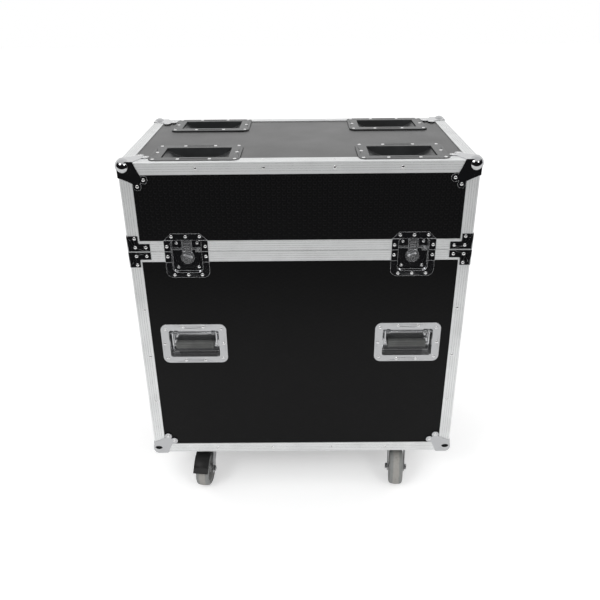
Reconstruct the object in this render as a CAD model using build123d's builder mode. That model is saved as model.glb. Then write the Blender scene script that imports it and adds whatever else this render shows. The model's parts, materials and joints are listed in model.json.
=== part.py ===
from build123d import *
import os
from math import cos, radians, sin

# Body of the case, without its casters: width along X, depth along Y, front at -Y
case_width = 826.0
case_depth = 470.0
case_height = 830.0
lid_height = 218.0
split_gap = 0.6

# Panels and the double-angle extrusion that holds them in its slots
panel_thickness = 9.5
panel_clearance = 0.05
panel_end_gap = 0.2
leg_width = 30.0
leg_wall = 2.0
slot_wall = 1.5
slot_flange = 14.0
edge_radius = 3.0
rib_width = 0.9
rib_depth = 0.4
rib_pitch = 5.6
mitre_gap = 0.05

# Rim profiles that meet at the split, with a tongue on the base and a groove in the lid
rim_height = 27.0
rim_web = 3.0
rim_flange_step = 7.0
groove_block = 9.0
tongue_start = 5.2
tongue_thickness = 3.0
tongue_height = 4.5
tongue_clearance = 1.2

# Blind rivets
rivet_head_radius = 4.0
rivet_head_height = 1.5
rivet_shank_radius = 2.0
rivet_length = 6.0
rivet_hole_clearance = 0.05
rivet_dimple = (1.4, 1.2, 0.6)
rivet_dome = (3.15, 1.0)
leg_rivet_inset = 20.0
leg_level_inset = 15.0
width_rivet_shares = (-0.285, -0.098, 0.098, 0.285)
depth_rivet_shares = (-0.2, 0.2)
upright_rivet_shares = (0.285, 0.515, 0.74)
cup_gap_share = 0.595

# Ball corners
ball_radius = 18.0
ball_inset = 11.0
ball_wall = 1.5
plate_thickness = 1.5
corner_reach = 36.0
corner_waist = (43.0, 16.0)
corner_neck = (50.0, 30.0)
corner_rivet_far = 56.5
corner_rivet_near = 41.0
corner_lobe_radius = 9.6

# Braces folded round the upright edges at the split
brace_arm_width = 27.0
brace_arm_drop = 40.0
brace_reach = 54.0
brace_band = 20.0
brace_rivet_edge = 18.5
brace_rivet_band = 11.3
brace_rivet_reach = 43.5
brace_rivet_drop = 34.0
brace_split_gap = 0.7
brace_notch_radius = 3.0

# Recessed spring handles
handle_from_side = 138.5
handle_height = 354.0
handle_plate_width = 168.0
handle_plate_height = 114.0
handle_plate_radius = 17.0
handle_dish_width = 128.0
handle_dish_height = 78.0
handle_dish_depth = 27.0
handle_dish_radius = 7.0
handle_wall = 1.5
handle_pivot_height = 26.0
handle_pivot_depth = 12.0
handle_grip_drop = 34.0
handle_bar_radius = 3.5
handle_grip_radius = 11.0
handle_grip_length = 98.0
handle_end_rivet_inset = (12.5, 14.0)
handle_long_rivet_x = 25.4
handle_long_rivet_inset = 7.5
handle_side_rivet_inset = 8.0
grip_end_radius = 2.0
grip_groove_radius = 1.1
grip_groove_count = 12
grip_groove_margin = 7.0
handle_arm_outer = 58.0
handle_arm_thickness = 3.0
handle_arm_depth = 9.0
grip_fit_gap = 0.05
running_clearance = 0.08
spring_wire_radius = 0.8
spring_radius = 5.4
spring_pitch = 2.3
spring_turns = 4
spring_end_gap = 2.0
spring_samples = 160

# Recessed butterfly latches
latch_from_side = 140.0
latch_half_width = 52.9
latch_drop = 69.5
latch_rise = 45.0
latch_top_half_width = 35.0
latch_flange = 1.2
latch_corner_radius = 16.0
latch_dish_half_width = 36.5
latch_dish_drop = 55.5
latch_dish_rise = 28.5
latch_dish_radius = 11.0
latch_top_corner_radius = 8.0
latch_dish_depth = 12.0
latch_wall = 1.5
latch_side_rivet = 46.2
latch_side_rivet_height = 13.0
latch_end_rivet = 33.8
latch_top_rivet_height = 37.4
latch_low_rivet_height = 62.2
latch_dish_rivet_inset = 11.5
pocket_rivet_height = 17.0
tray_rivet_height = 46.0
rotor_drop = 20.0
rotor_disc_radius = 16.5
rotor_disc_thickness = 2.5
rotor_floor_gap = 0.2
rotor_stem_radius = 6.0
yoke_half = 11.0
yoke_inner = 9.0
wing_offset = 7.0
wing_tilt = 20.0
wing_axis_z = -3.2
wing_barrel_radius = 3.0
wing_pin_radius = 1.6
wing_thickness = 3.2
wing_boss_height = 1.0
wing_stem_gap = 0.7
wing_side_gap = 0.2
hook_half_width = 7.5
hook_top = 24.0
hook_thickness = 2.0
hook_floor_gap = 3.1
hook_lip_depth = 2.5
hook_lip_thickness = 2.0
hook_rib_heights = (4.0, 10.0, 16.5)
hook_rib_height = 1.0
hook_pivot_drop = 3.0
hook_pivot_rise = 4.1
hook_pin_radius = 1.3
ear_gap = 1.5
ear_thickness = 2.0
ear_width = 4.8
ear_rise = 6.6
keeper_low_gap = 7.0
keeper_high_gap = 2.7
keeper_height = 2.6
pocket_gap = 2.5
pocket_wall = 1.5
pocket_start = 3.0
pocket_height = 6.5
padlock_eye_x = 28.0
padlock_hole_radius = 3.5
padlock_tab_reach = 11.0
padlock_tab_half_width = 6.5
padlock_tab_thickness = 1.5
padlock_tab_gap = 1.0
padlock_eye_inset = 5.2
padlock_notch_radius = 4.6

# Caster cups sunk in the lid, which take the casters of a case stacked on top
cup_from_side = 172.0
cup_edge_margin = 8.0
cup_width = 210.0
cup_depth = 146.0
cup_corner_radius = 18.0
cup_flange = 1.5
cup_recess_width = 156.0
cup_recess_depth = 90.0
cup_end_depth = 4.0
cup_middle_depth = 28.0
cup_wall = 2.0
cup_rivet_inset = 11.0
cup_rivet_middle = 36.5
cup_leg_gap = 0.3

# Swivel casters
caster_from_side = 137.0
caster_edge_gap = 0.5
caster_plate_width = 95.0
caster_plate_depth = 68.0
caster_plate_thickness = 3.0
caster_bolt_x = 37.5
caster_bolt_y = 24.0
caster_corner_radius = 6.0
caster_trail = 40.0
caster_turn = -6.0
wheel_radius = 50.0
wheel_half_width = 19.0
wheel_top_gap = 14.3
tyre_depth = 10.0
tyre_lip = 3.0
tyre_shoulder = (16.8, 3.2)
tyre_tread = (11.5, 1.0)
rim_half = 16.5
rim_thickness = 4.0
rim_slope = 3.0
web_half = 5.0
hub_half = 20.0
hub_radius = 11.0
hub_slope = (15.0, 2.0)
hub_foot = 3.0
axle_radius = 4.0
axle_head = 6.0
axle_nut_height = 5.0
axle_hex_radius = 8.0
axle_end = 1.5
fork_inner = 22.0
fork_thickness = 2.5
fork_plate = 3.0
fork_disc_radius = 31.0
cheek_top = 19.0
cheek_back = 21.0
cheek_front = -31.0
cheek_shoulder_drop = 10.3
cheek_front_drop = 6.3
cheek_eye_radius = 13.0
cheek_eye_slant = 37.5
king_pin_radius = 6.0
king_pin_reach = 4.0
king_nut_radius = 9.5
king_nut_gap = 0.4
race_radius = 28.0
race_skirt = 2.5
race_skirt_gap = 0.6
race_gap = 0.2
race_thickness = 4.5
ball_ring_radius = 21.0
ball_count = 12
bearing_ball_radius = 2.5
bolt_radius = 4.0
bolt_hole_radius = 4.2
bolt_head_radius = 8.0
bolt_head_height = 4.0
nut_radius = 7.5
nut_height = 6.5
bolt_end = 1.0
thread_gap = 0.02
pedal_gap = 9.0
pedal_thickness = 3.0
pedal_half_width = 21.0
pedal_side_wall = 2.5
pedal_start = 88.0
pedal_end = 142.0
pedal_toe = (58.0, 26.5)
pedal_pin_radius = 2.5
pedal_pin_forward = 14.0
pedal_pin_rise = 6.0

# Lift-off hinge pins and leaves on the back
hinge_from_side = 143.0
hinge_width = 64.0
hinge_leaf_height = 25.0
hinge_offset = 2.0
knuckle_radius = 3.5
hinge_pin_radius = 2.0
knuckle_gap = 0.3
knuckle_relief_gap = 0.6
hinge_leaf_gap = 0.7
hinge_rivet_height = 15.0
hinge_rivet_spacing = 22.0
hinge_pin_gap = 0.01

# Padding and dividers inside
floor_pad_thickness = 20.0
lid_pad_thickness = 22.0
divider_count = 5
divider_thickness = 9.5
divider_top_gap = 60.0
channel_wall = 1.5
channel_depth = 12.0
channel_slack = 0.4
pad_gap = 1.0
bolt_pocket_radius = 9.0
fit_gap = 1.0
cut_depth = 60.0

half_width = case_width / 2
half_depth = case_depth / 2
fork_low = 2 * wheel_radius + wheel_top_gap
fork_top_z = fork_low + fork_plate
race_low = fork_top_z + 2 * bearing_ball_radius + race_gap
plate_low = race_low + race_thickness
caster_height = plate_low + caster_plate_thickness
underside_z = caster_height - leg_wall
top_z = underside_z + case_height
split_z = top_z - lid_height
slot_depth = leg_wall + panel_thickness
web_depth = slot_depth + slot_wall
panel_inset = web_depth + panel_end_gap
handle_x = half_width - handle_from_side
latch_x = half_width - latch_from_side
cup_x = half_width - cup_from_side
caster_x = half_width - caster_from_side
hinge_x = half_width - hinge_from_side
hinge_xs = (-hinge_x, 0.0, hinge_x)
caster_y = half_depth - leg_width - caster_edge_gap - caster_plate_depth / 2
cup_y = half_depth - cup_edge_margin - cup_depth / 2
handle_z = underside_z + handle_height
divider_bottom = underside_z + slot_depth + floor_pad_thickness
divider_top = split_z - divider_top_gap

# The outer faces of the case as planes that look outwards, with local y up on the upright ones
front_face = Plane(origin=(0, -half_depth, 0), x_dir=(1, 0, 0), z_dir=(0, -1, 0))
back_face = Plane(origin=(0, half_depth, 0), x_dir=(-1, 0, 0), z_dir=(0, 1, 0))
left_face = Plane(origin=(-half_width, 0, 0), x_dir=(0, -1, 0), z_dir=(-1, 0, 0))
right_face = Plane(origin=(half_width, 0, 0), x_dir=(0, 1, 0), z_dir=(1, 0, 0))
top_face = Plane(origin=(0, 0, top_z), x_dir=(1, 0, 0), z_dir=(0, 0, 1))
under_face = Plane(origin=(0, 0, underside_z), x_dir=(1, 0, 0), z_dir=(0, 0, -1))
face_half_widths = (
    (front_face, half_width),
    (back_face, half_width),
    (left_face, half_depth),
    (right_face, half_depth),
)

pieces = {}


def spot(face, x, y, out=0.0, turn=0.0):
    """A place on a face, a distance out from it, with its z axis pointing outwards."""
    return face.offset(out).location * Location((x, y, 0), (0, 0, turn))


def placed(shape, *places):
    """Copies of one shape, one at each place."""
    with BuildPart() as copies:
        with Locations(*places):
            add(shape)
    return copies.part


def joined(shapes):
    """Separate solids of one group held as one part."""
    with BuildPart() as group:
        add(shapes)
    return group.part


def without(shape, *cutters):
    """The shape with the cutters taken away."""
    with BuildPart() as rest:
        add(shape)
        add(list(cutters), mode=Mode.SUBTRACT)
    return rest.part


def block(low, high):
    """A rectangular block between two corners."""
    with BuildPart() as box:
        with BuildSketch(Plane.XY.offset(low[2])):
            with Locations(((low[0] + high[0]) / 2, (low[1] + high[1]) / 2)):
                Rectangle(high[0] - low[0], high[1] - low[1])
        extrude(amount=high[2] - low[2])
    return box.part


def ring_frames(z, up):
    """Frames for the four edges of the case at one height: x along the edge, y and z inwards."""
    corners = [(-1, -1), (1, -1), (1, 1), (-1, 1)]
    if up < 0:
        corners.reverse()
    frames = []
    for start, end in zip(corners, corners[1:] + corners[:1]):
        along = ((end[0] - start[0]) / 2, (end[1] - start[1]) / 2, 0)
        origin = (start[0] * half_width, start[1] * half_depth, z)
        length = case_width if along[0] else case_depth
        frames.append((Plane(origin=origin, x_dir=along, z_dir=(0, 0, up)), length))
    return frames


def ribbed_face(length, outward):
    """Points along an extrusion's outer face with shallow grooves, from the corner to the free edge."""
    points = []
    count = int((length - rib_pitch / 2) / rib_pitch)
    for i in range(1, count + 1):
        middle = i * rib_pitch
        points += [(middle - rib_width / 2, 0), (middle, rib_depth), (middle + rib_width / 2, 0)]
    return points if outward else [(v, u) for u, v in reversed(points)]


def angle_run(frame, length, far_mitre):
    """One length of double-angle extrusion along x, with compound mitres that share each corner evenly."""
    section = Plane(origin=frame.origin, x_dir=frame.y_dir, z_dir=frame.x_dir)
    plan = Plane(origin=frame.origin, x_dir=frame.x_dir, z_dir=frame.z_dir)
    elevation = Plane(origin=frame.origin, x_dir=frame.x_dir, z_dir=frame.y_dir * -1)
    inner_reach = web_depth + slot_flange
    outline = (
        [(0, 0)]
        + ribbed_face(leg_width, True)
        + [
            (leg_width, 0),
            (leg_width, leg_wall),
            (web_depth, leg_wall),
            (web_depth, slot_depth),
            (inner_reach, slot_depth),
            (inner_reach, web_depth),
            (web_depth, web_depth),
            (web_depth, inner_reach),
            (slot_depth, inner_reach),
            (slot_depth, web_depth),
            (leg_wall, web_depth),
            (leg_wall, leg_width),
            (0, leg_width),
        ]
        + ribbed_face(leg_width, False)
    )
    hollow = slot_depth - slot_wall - leg_wall
    far = leg_width if far_mitre else 0
    end = length - mitre_gap if far_mitre else length
    trapezoid = [(mitre_gap, 0), (end, 0), (end - far, leg_width), (leg_width + mitre_gap, leg_width)]
    with BuildPart() as run:
        with BuildSketch(section) as profile:
            with BuildLine():
                Polyline(*outline, close=True)
            make_face()
            fillet(profile.vertices().sort_by_distance((0, 0, 0))[0], edge_radius)
            with Locations((leg_wall + slot_wall, leg_wall + slot_wall)):
                Rectangle(hollow, hollow, align=(Align.MIN, Align.MIN), mode=Mode.SUBTRACT)
        extrude(amount=length)
        for plane, depth in ((plan, leg_width), (elevation, -leg_width)):
            with BuildSketch(plane):
                Polygon(*trapezoid, align=None)
            extrude(amount=depth, mode=Mode.INTERSECT)
    return run.part


def upright(frame):
    """The frame of the upright edge that starts at a ring frame's corner."""
    return Plane(origin=frame.origin, x_dir=frame.z_dir, z_dir=frame.y_dir)


def rim_run(frame, length, outline, groove):
    """One length of rim profile, mitred in plan; z runs away from the split."""
    section = Plane(origin=frame.origin, x_dir=frame.y_dir, z_dir=frame.x_dir)
    reach = 2 * rim_height
    plan = Plane(origin=frame.origin - frame.z_dir * rim_height, x_dir=frame.x_dir, z_dir=frame.z_dir)
    end = length - mitre_gap
    trapezoid = [(mitre_gap, 0), (end, 0), (end - web_depth, web_depth), (web_depth + mitre_gap, web_depth)]
    with BuildPart() as run:
        with BuildSketch(section):
            with BuildLine():
                Polyline(*outline, close=True)
            make_face()
            if groove:
                with Locations((tongue_start - tongue_clearance, 0)):
                    Rectangle(
                        tongue_thickness + 2 * tongue_clearance,
                        split_gap / 2 + tongue_height + tongue_clearance,
                        align=(Align.MIN, Align.MIN),
                        mode=Mode.SUBTRACT,
                    )
        extrude(amount=length)
        with BuildSketch(plan):
            Polygon(*trapezoid, align=None)
        extrude(amount=reach, mode=Mode.INTERSECT)
    return run.part


def rim_ribs():
    """Grooves down the outer wall of a rim profile, listed from its far edge to the split."""
    points = []
    middle = rim_height - rib_pitch / 2
    while middle > split_gap / 2 + rib_width:
        points += [(0, middle + rib_width / 2), (rib_depth, middle), (0, middle - rib_width / 2)]
        middle -= rib_pitch
    return points


def rim_outline(web, has_tongue):
    """The section of a rim profile: u inwards from the face, v away from the split."""
    start = split_gap / 2
    flange_end = rim_height - rim_flange_step
    tongue = [(tongue_start + tongue_thickness, start), (tongue_start + tongue_thickness, -tongue_height)]
    tongue += [(tongue_start, -tongue_height), (tongue_start, start)]
    points = [(0, start)]
    points += reversed(tongue) if has_tongue else []
    points += [
        (web_depth, start),
        (web_depth, flange_end),
        (slot_depth, flange_end),
        (slot_depth, web),
        (leg_wall, web),
        (leg_wall, rim_height),
        (0, rim_height),
    ]
    return points + rim_ribs()


def upright_panel(face, half, low, high):
    """A panel behind one upright face, held in the slots of the extrusions round it."""
    depth = panel_thickness - 2 * panel_clearance
    with BuildPart() as panel:
        with BuildSketch(face.offset(-leg_wall - panel_clearance)):
            with Locations((0, (low + high) / 2)):
                Rectangle(2 * (half - panel_inset), high - low)
        extrude(amount=-depth)
    return panel.part


def level_panel(face):
    """A floor or top panel behind a level face."""
    depth = panel_thickness - 2 * panel_clearance
    with BuildPart() as panel:
        with BuildSketch(face.offset(-leg_wall - panel_clearance)):
            Rectangle(case_width - 2 * panel_inset, case_depth - 2 * panel_inset)
        extrude(amount=-depth)
    return panel.part


# Places that the handles, latches, casters and cups share
handle_places = {
    "front_left": spot(front_face, -handle_x, handle_z, plate_thickness - leg_wall),
    "front_right": spot(front_face, handle_x, handle_z, plate_thickness - leg_wall),
    "back_left": spot(back_face, handle_x, handle_z, plate_thickness - leg_wall),
    "back_right": spot(back_face, -handle_x, handle_z, plate_thickness - leg_wall),
}
latch_places = {"left": spot(front_face, -latch_x, split_z), "right": spot(front_face, latch_x, split_z)}
cup_places = [
    Location((x, y, top_z), (0, 0, 0 if y < 0 else 180)) for x in (-cup_x, cup_x) for y in (-cup_y, cup_y)
]
caster_places = {
    "front_left": Location((-caster_x, -caster_y, 0), (0, 0, caster_turn)),
    "front_right": Location((caster_x, -caster_y, 0), (0, 0, caster_turn)),
    "back_left": Location((-caster_x, caster_y, 0), (0, 0, caster_turn)),
    "back_right": Location((caster_x, caster_y, 0), (0, 0, caster_turn)),
}
plate_places = [Location((x, y, 0)) for x in (-caster_x, caster_x) for y in (-caster_y, caster_y)]

# Rivet places, all measured from the same values as the pieces that they hold
base_spots, lid_spots = [], []
on_plate = plate_thickness
for face, half in face_half_widths:
    for side in (-1, 1):
        for u, v in ((corner_rivet_far, corner_rivet_near), (corner_rivet_near, corner_rivet_far)):
            base_spots.append(spot(face, side * (half - u), underside_z + v, on_plate))
            lid_spots.append(spot(face, side * (half - u), top_z - v, on_plate))
        for u, v in (
            (brace_rivet_edge, brace_rivet_band),
            (brace_rivet_reach, brace_rivet_band),
            (brace_rivet_edge, brace_rivet_drop),
        ):
            base_spots.append(spot(face, side * (half - u), split_z - v, on_plate))
            lid_spots.append(spot(face, side * (half - u), split_z + v, on_plate))
for side_x in (-1, 1):
    for side_y in (-1, 1):
        for u, v in ((corner_rivet_far, corner_rivet_near), (corner_rivet_near, corner_rivet_far)):
            x, y = side_x * (half_width - u), side_y * (half_depth - v)
            base_spots.append(spot(under_face, x, y, on_plate))
            lid_spots.append(spot(top_face, x, y, on_plate))

# Rivets along the edge extrusions: shares of the clear length between the corners
width_rivets = [case_width * share for share in width_rivet_shares]
depth_rivets = [case_depth * share for share in depth_rivet_shares]
upright_rivets = [underside_z + (split_z - underside_z) * share for share in upright_rivet_shares]
between_cups = [side * cup_gap_share * (cup_x - cup_width / 2) for side in (-1, 1)]
for face, half in face_half_widths:
    along = width_rivets if half == half_width else depth_rivets
    for x in along:
        base_spots.append(spot(face, x, underside_z + leg_level_inset))
        lid_spots.append(spot(face, x, top_z - leg_level_inset))
    for z in upright_rivets:
        for side in (-1, 1):
            base_spots.append(spot(face, side * (half - leg_rivet_inset), z))
for side in (-1, 1):
    for x in between_cups:
        base_spots.append(spot(under_face, x, side * (half_depth - leg_level_inset)))
        lid_spots.append(spot(top_face, x, side * (half_depth - leg_level_inset)))
    for y in depth_rivets:
        base_spots.append(spot(under_face, side * (half_width - leg_level_inset), y))
        lid_spots.append(spot(top_face, side * (half_width - leg_level_inset), y))

handle_rivet_x = handle_plate_width / 2 - handle_end_rivet_inset[0]
handle_rivet_y = handle_plate_height / 2 - handle_end_rivet_inset[1]
handle_long_rivet_y = handle_plate_height / 2 - handle_long_rivet_inset
handle_side_rivet_x = handle_plate_width / 2 - handle_side_rivet_inset
handle_rivets = [(sx * handle_rivet_x, sy * handle_rivet_y) for sx in (-1, 1) for sy in (-1, 1)]
handle_rivets += [(sx * handle_long_rivet_x, sy * handle_long_rivet_y) for sx in (-1, 1) for sy in (-1, 1)]
handle_rivets += [(sx * handle_side_rivet_x, 0) for sx in (-1, 1)]
for place in handle_places.values():
    base_spots += [place * Location((x, y, 0)) for x, y in handle_rivets]

latch_on_rim = latch_flange
latch_on_panel = latch_flange - leg_wall
dish_rivet_x = latch_dish_half_width - latch_dish_rivet_inset
for place in latch_places.values():
    for side in (-1, 1):
        base_spots.append(place * Location((side * latch_side_rivet, -latch_side_rivet_height, latch_on_rim)))
        lid_spots.append(place * Location((side * latch_side_rivet, latch_side_rivet_height, latch_on_rim)))
        base_spots.append(place * Location((side * dish_rivet_x, -tray_rivet_height, -latch_dish_depth)))
        lid_spots.append(place * Location((side * dish_rivet_x, pocket_rivet_height, -latch_dish_depth)))
    for x in (-latch_end_rivet, 0, latch_end_rivet):
        base_spots.append(place * Location((x, -latch_low_rivet_height, latch_on_panel)))
        lid_spots.append(place * Location((x, latch_top_rivet_height, latch_on_panel)))

cup_rivet_x = cup_width / 2 - cup_rivet_inset
cup_rivet_y = cup_depth / 2 - cup_rivet_inset
cup_rivets = [(sx * cup_rivet_x, sy * cup_rivet_y) for sx in (-1, 1) for sy in (-1, 1)]
cup_rivets += [(sx * cup_rivet_middle, sy * cup_rivet_y) for sx in (-1, 1) for sy in (-1, 1)]
cup_rivets += [(sx * cup_rivet_x, 0) for sx in (-1, 1)]
for place in cup_places:
    lid_spots += [place * Location((x, y, cup_flange)) for x, y in cup_rivets]

for x in hinge_xs:
    for dx in (-hinge_rivet_spacing, 0.0, hinge_rivet_spacing):
        base_spots.append(spot(back_face, -x + dx, split_z - hinge_rivet_height, plate_thickness))
        lid_spots.append(spot(back_face, -x + dx, split_z + hinge_rivet_height, plate_thickness))

# One blind rivet, with the small hole that its mandrel leaves in the head
with BuildPart() as rivet:
    with BuildSketch(Plane.XZ):
        with BuildLine():
            Polyline(
                (rivet_dimple[0], rivet_head_height),
                (rivet_dimple[1], rivet_dimple[2]),
                (0, rivet_dimple[2]),
                (0, -rivet_length),
            )
            Polyline((0, -rivet_length), (rivet_shank_radius, -rivet_length), (rivet_shank_radius, 0))
            Line((rivet_shank_radius, 0), (rivet_head_radius, 0))
            ThreePointArc((rivet_head_radius, 0), rivet_dome, (rivet_dimple[0], rivet_head_height))
        make_face()
    revolve(axis=Axis.Z)
with BuildPart() as rivet_hole:
    with BuildSketch(Plane.XY.offset(fit_gap)):
        Circle(rivet_shank_radius + rivet_hole_clearance)
    extrude(amount=-rivet_length - 1.3 * fit_gap)

base_rivet_holes = placed(rivet_hole.part, *base_spots)
lid_rivet_holes = placed(rivet_hole.part, *lid_spots)
pieces["base_rivets"] = placed(rivet.part, *base_spots)
pieces["lid_rivets"] = placed(rivet.part, *lid_spots)

# The corner of the framework that a ball corner covers, cut back to a round tip under the ball
with BuildPart() as corner_tip:
    Box(ball_inset, ball_inset, ball_inset, align=(Align.MIN,) * 3)
    with Locations((ball_inset, ball_inset, ball_inset)):
        Sphere(ball_radius - ball_wall, mode=Mode.SUBTRACT)


def corner_places(z, up):
    """The four corners at one height, each with x, y and z pointing inwards."""
    return [frame.location for frame, length in ring_frames(z, up)]


base_corner_tips = placed(corner_tip.part, *corner_places(underside_z, 1))
lid_corner_tips = placed(corner_tip.part, *corner_places(top_z, -1))

# Edge extrusions: four level runs and four uprights on the base, and the same on the lid
base_runs = [angle_run(frame, length, True) for frame, length in ring_frames(underside_z, 1)]
base_upright = split_z - rim_height - underside_z
base_runs += [angle_run(upright(frame), base_upright, False) for frame, length in ring_frames(underside_z, 1)]
lid_runs = [angle_run(frame, length, True) for frame, length in ring_frames(top_z, -1)]
lid_upright = top_z - split_z - rim_height
lid_runs += [angle_run(upright(frame), lid_upright, False) for frame, length in ring_frames(top_z, -1)]

# Cut-outs that let the sunk fittings through the panels and the rims
latch_outer_half = latch_dish_half_width + latch_wall
latch_cutter = block(
    (-latch_outer_half - fit_gap, -latch_dish_drop - latch_wall - fit_gap, -cut_depth / 2),
    (latch_outer_half + fit_gap, latch_dish_rise + latch_wall + fit_gap, plate_thickness + fit_gap),
)
latch_cuts = placed(latch_cutter, *latch_places.values())
handle_cutter = block(
    (
        -handle_dish_width / 2 - handle_wall - fit_gap,
        -handle_dish_height / 2 - handle_wall - fit_gap,
        -cut_depth / 2,
    ),
    (
        handle_dish_width / 2 + handle_wall + fit_gap,
        handle_dish_height / 2 + handle_wall + fit_gap,
        plate_thickness + fit_gap,
    ),
)
handle_cuts = placed(handle_cutter, *handle_places.values())
cup_cutter = block(
    (-cup_recess_width / 2 - cup_wall - fit_gap, -cup_recess_depth / 2 - cup_wall - fit_gap, -cut_depth),
    (
        cup_recess_width / 2 + cup_wall + fit_gap,
        cup_recess_depth / 2 + cup_wall + fit_gap,
        plate_thickness + fit_gap,
    ),
)
cup_cuts = placed(cup_cutter, *cup_places)
with BuildPart() as knuckle_relief:
    with BuildSketch(Plane.YZ.offset(-hinge_width / 2 - fit_gap)):
        with Locations((half_depth + hinge_offset, split_z)):
            Circle(knuckle_radius + knuckle_relief_gap)
    extrude(amount=hinge_width + 2 * fit_gap)
hinge_cuts = placed(knuckle_relief.part, *[Location((x, 0, 0)) for x in hinge_xs])

pieces["base_edge_angles"] = without(joined(base_runs), base_rivet_holes, base_corner_tips)
pieces["lid_edge_angles"] = without(joined(lid_runs), lid_rivet_holes, lid_corner_tips)

base_outline, lid_outline = rim_outline(rim_web, True), rim_outline(groove_block, False)
base_rims = [rim_run(frame, length, base_outline, False) for frame, length in ring_frames(split_z, -1)]
lid_rims = [rim_run(frame, length, lid_outline, True) for frame, length in ring_frames(split_z, 1)]
pieces["base_rim_profiles"] = without(joined(base_rims), base_rivet_holes, latch_cuts, hinge_cuts)
pieces["lid_rim_profiles"] = without(joined(lid_rims), lid_rivet_holes, latch_cuts, hinge_cuts)

# Panels
base_panel_low = underside_z + panel_inset
base_panel_high = split_z - split_gap / 2 - rim_web - panel_end_gap
lid_panel_low = split_z + groove_block + panel_end_gap
lid_panel_high = top_z - panel_inset
for body, low, high, holes in (
    ("base", base_panel_low, base_panel_high, base_rivet_holes),
    ("lid", lid_panel_low, lid_panel_high, lid_rivet_holes),
):
    front = upright_panel(front_face, half_width, low, high)
    back = upright_panel(back_face, half_width, low, high)
    sides = joined([upright_panel(face, half_depth, low, high) for face in (left_face, right_face)])
    front_cuts = [latch_cuts, handle_cuts] if body == "base" else [latch_cuts]
    back_cuts = [handle_cuts] if body == "base" else []
    pieces[f"{body}_front_panel"] = without(front, holes, *front_cuts)
    pieces[f"{body}_back_panel"] = without(back, holes, *back_cuts)
    pieces[f"{body}_side_panels"] = without(sides, holes)

bolt_places = [
    Location((cx + sx * caster_bolt_x, cy + sy * caster_bolt_y, 0))
    for cx in (-caster_x, caster_x)
    for cy in (-caster_y, caster_y)
    for sx in (-1, 1)
    for sy in (-1, 1)
]
with BuildPart() as bolt_hole:
    with BuildSketch(Plane.XY.offset(underside_z - fit_gap)):
        Circle(bolt_hole_radius)
    extrude(amount=slot_depth + 2 * fit_gap)
bolt_holes = placed(bolt_hole.part, *bolt_places)
pieces["base_floor_panel"] = without(level_panel(under_face), base_rivet_holes, bolt_holes)
pieces["lid_top_panel"] = without(level_panel(top_face), lid_rivet_holes, cup_cuts)

# Ball corners: a hollow ball joined to three plates, each with two lobes for its rivets
with BuildPart() as ball_corner:
    lobes = ((corner_rivet_far, corner_rivet_near), (corner_rivet_near, corner_rivet_far))
    edge = -plate_thickness
    waist_x, waist_y = corner_waist
    neck_x, neck_y = corner_neck
    for plane in (
        Plane.XY,
        Plane(origin=(0, 0, 0), x_dir=(0, 1, 0), z_dir=(1, 0, 0)),
        Plane(origin=(0, 0, 0), x_dir=(0, 0, 1), z_dir=(0, 1, 0)),
    ):
        with BuildSketch(plane):
            with BuildLine():
                Line((edge, edge), (corner_reach, edge))
                ThreePointArc((corner_reach, edge), (waist_x, waist_y), (neck_x, neck_y))
                Polyline((neck_x, neck_y), *lobes)
                Line(lobes[1], (neck_y, neck_x))
                ThreePointArc((neck_y, neck_x), (waist_y, waist_x), (edge, corner_reach))
                Line((edge, corner_reach), (edge, edge))
            make_face()
            with Locations(*lobes):
                Circle(corner_lobe_radius)
        extrude(amount=-plate_thickness)
    core_size = corner_rivet_far + 2 * corner_lobe_radius
    with Locations((ball_inset,) * 3):
        Box(2 * ball_inset, 2 * ball_inset, 2 * ball_inset, align=(Align.MAX,) * 3, mode=Mode.SUBTRACT)
        Sphere(ball_radius)
    with BuildSketch(Plane.XY):
        Rectangle(core_size, core_size, align=(Align.MIN, Align.MIN))
    extrude(amount=core_size, mode=Mode.SUBTRACT)
    add(corner_tip.part)
pieces["base_ball_corners"] = without(
    placed(ball_corner.part, *corner_places(underside_z, 1)), base_rivet_holes
)
pieces["lid_ball_corners"] = without(placed(ball_corner.part, *corner_places(top_z, -1)), lid_rivet_holes)

# Braces: one bent plate at each upright edge, drawn with z away from the split
with BuildPart() as brace:
    start = split_gap / 2 + brace_split_gap
    with BuildSketch(Plane.XY.offset(start)) as fold:
        with Locations((-plate_thickness, -plate_thickness)):
            Rectangle(brace_reach + plate_thickness, brace_reach + plate_thickness, align=(Align.MIN, Align.MIN))
        fillet(fold.vertices().sort_by_distance((-plate_thickness, -plate_thickness, 0))[0], edge_radius)
        Rectangle(2 * brace_reach, 2 * brace_reach, align=(Align.MIN, Align.MIN), mode=Mode.SUBTRACT)
    extrude(amount=brace_arm_drop)
    for plane in (
        Plane(origin=(0, 0, start), x_dir=(1, 0, 0), z_dir=(0, -1, 0)),
        Plane(origin=(0, 0, start), x_dir=(0, 1, 0), z_dir=(1, 0, 0)),
    ):
        with BuildSketch(plane) as notch:
            with Locations((brace_arm_width, brace_band)):
                Rectangle(brace_reach, brace_arm_drop, align=(Align.MIN, Align.MIN))
            fillet(notch.vertices().sort_by_distance((brace_arm_width, brace_band, 0))[0], brace_notch_radius)
        extrude(amount=2 * plate_thickness, both=True, mode=Mode.SUBTRACT)
pieces["base_rim_braces"] = without(placed(brace.part, *corner_places(split_z, -1)), base_rivet_holes)
pieces["lid_rim_braces"] = without(placed(brace.part, *corner_places(split_z, 1)), lid_rivet_holes)

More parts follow.
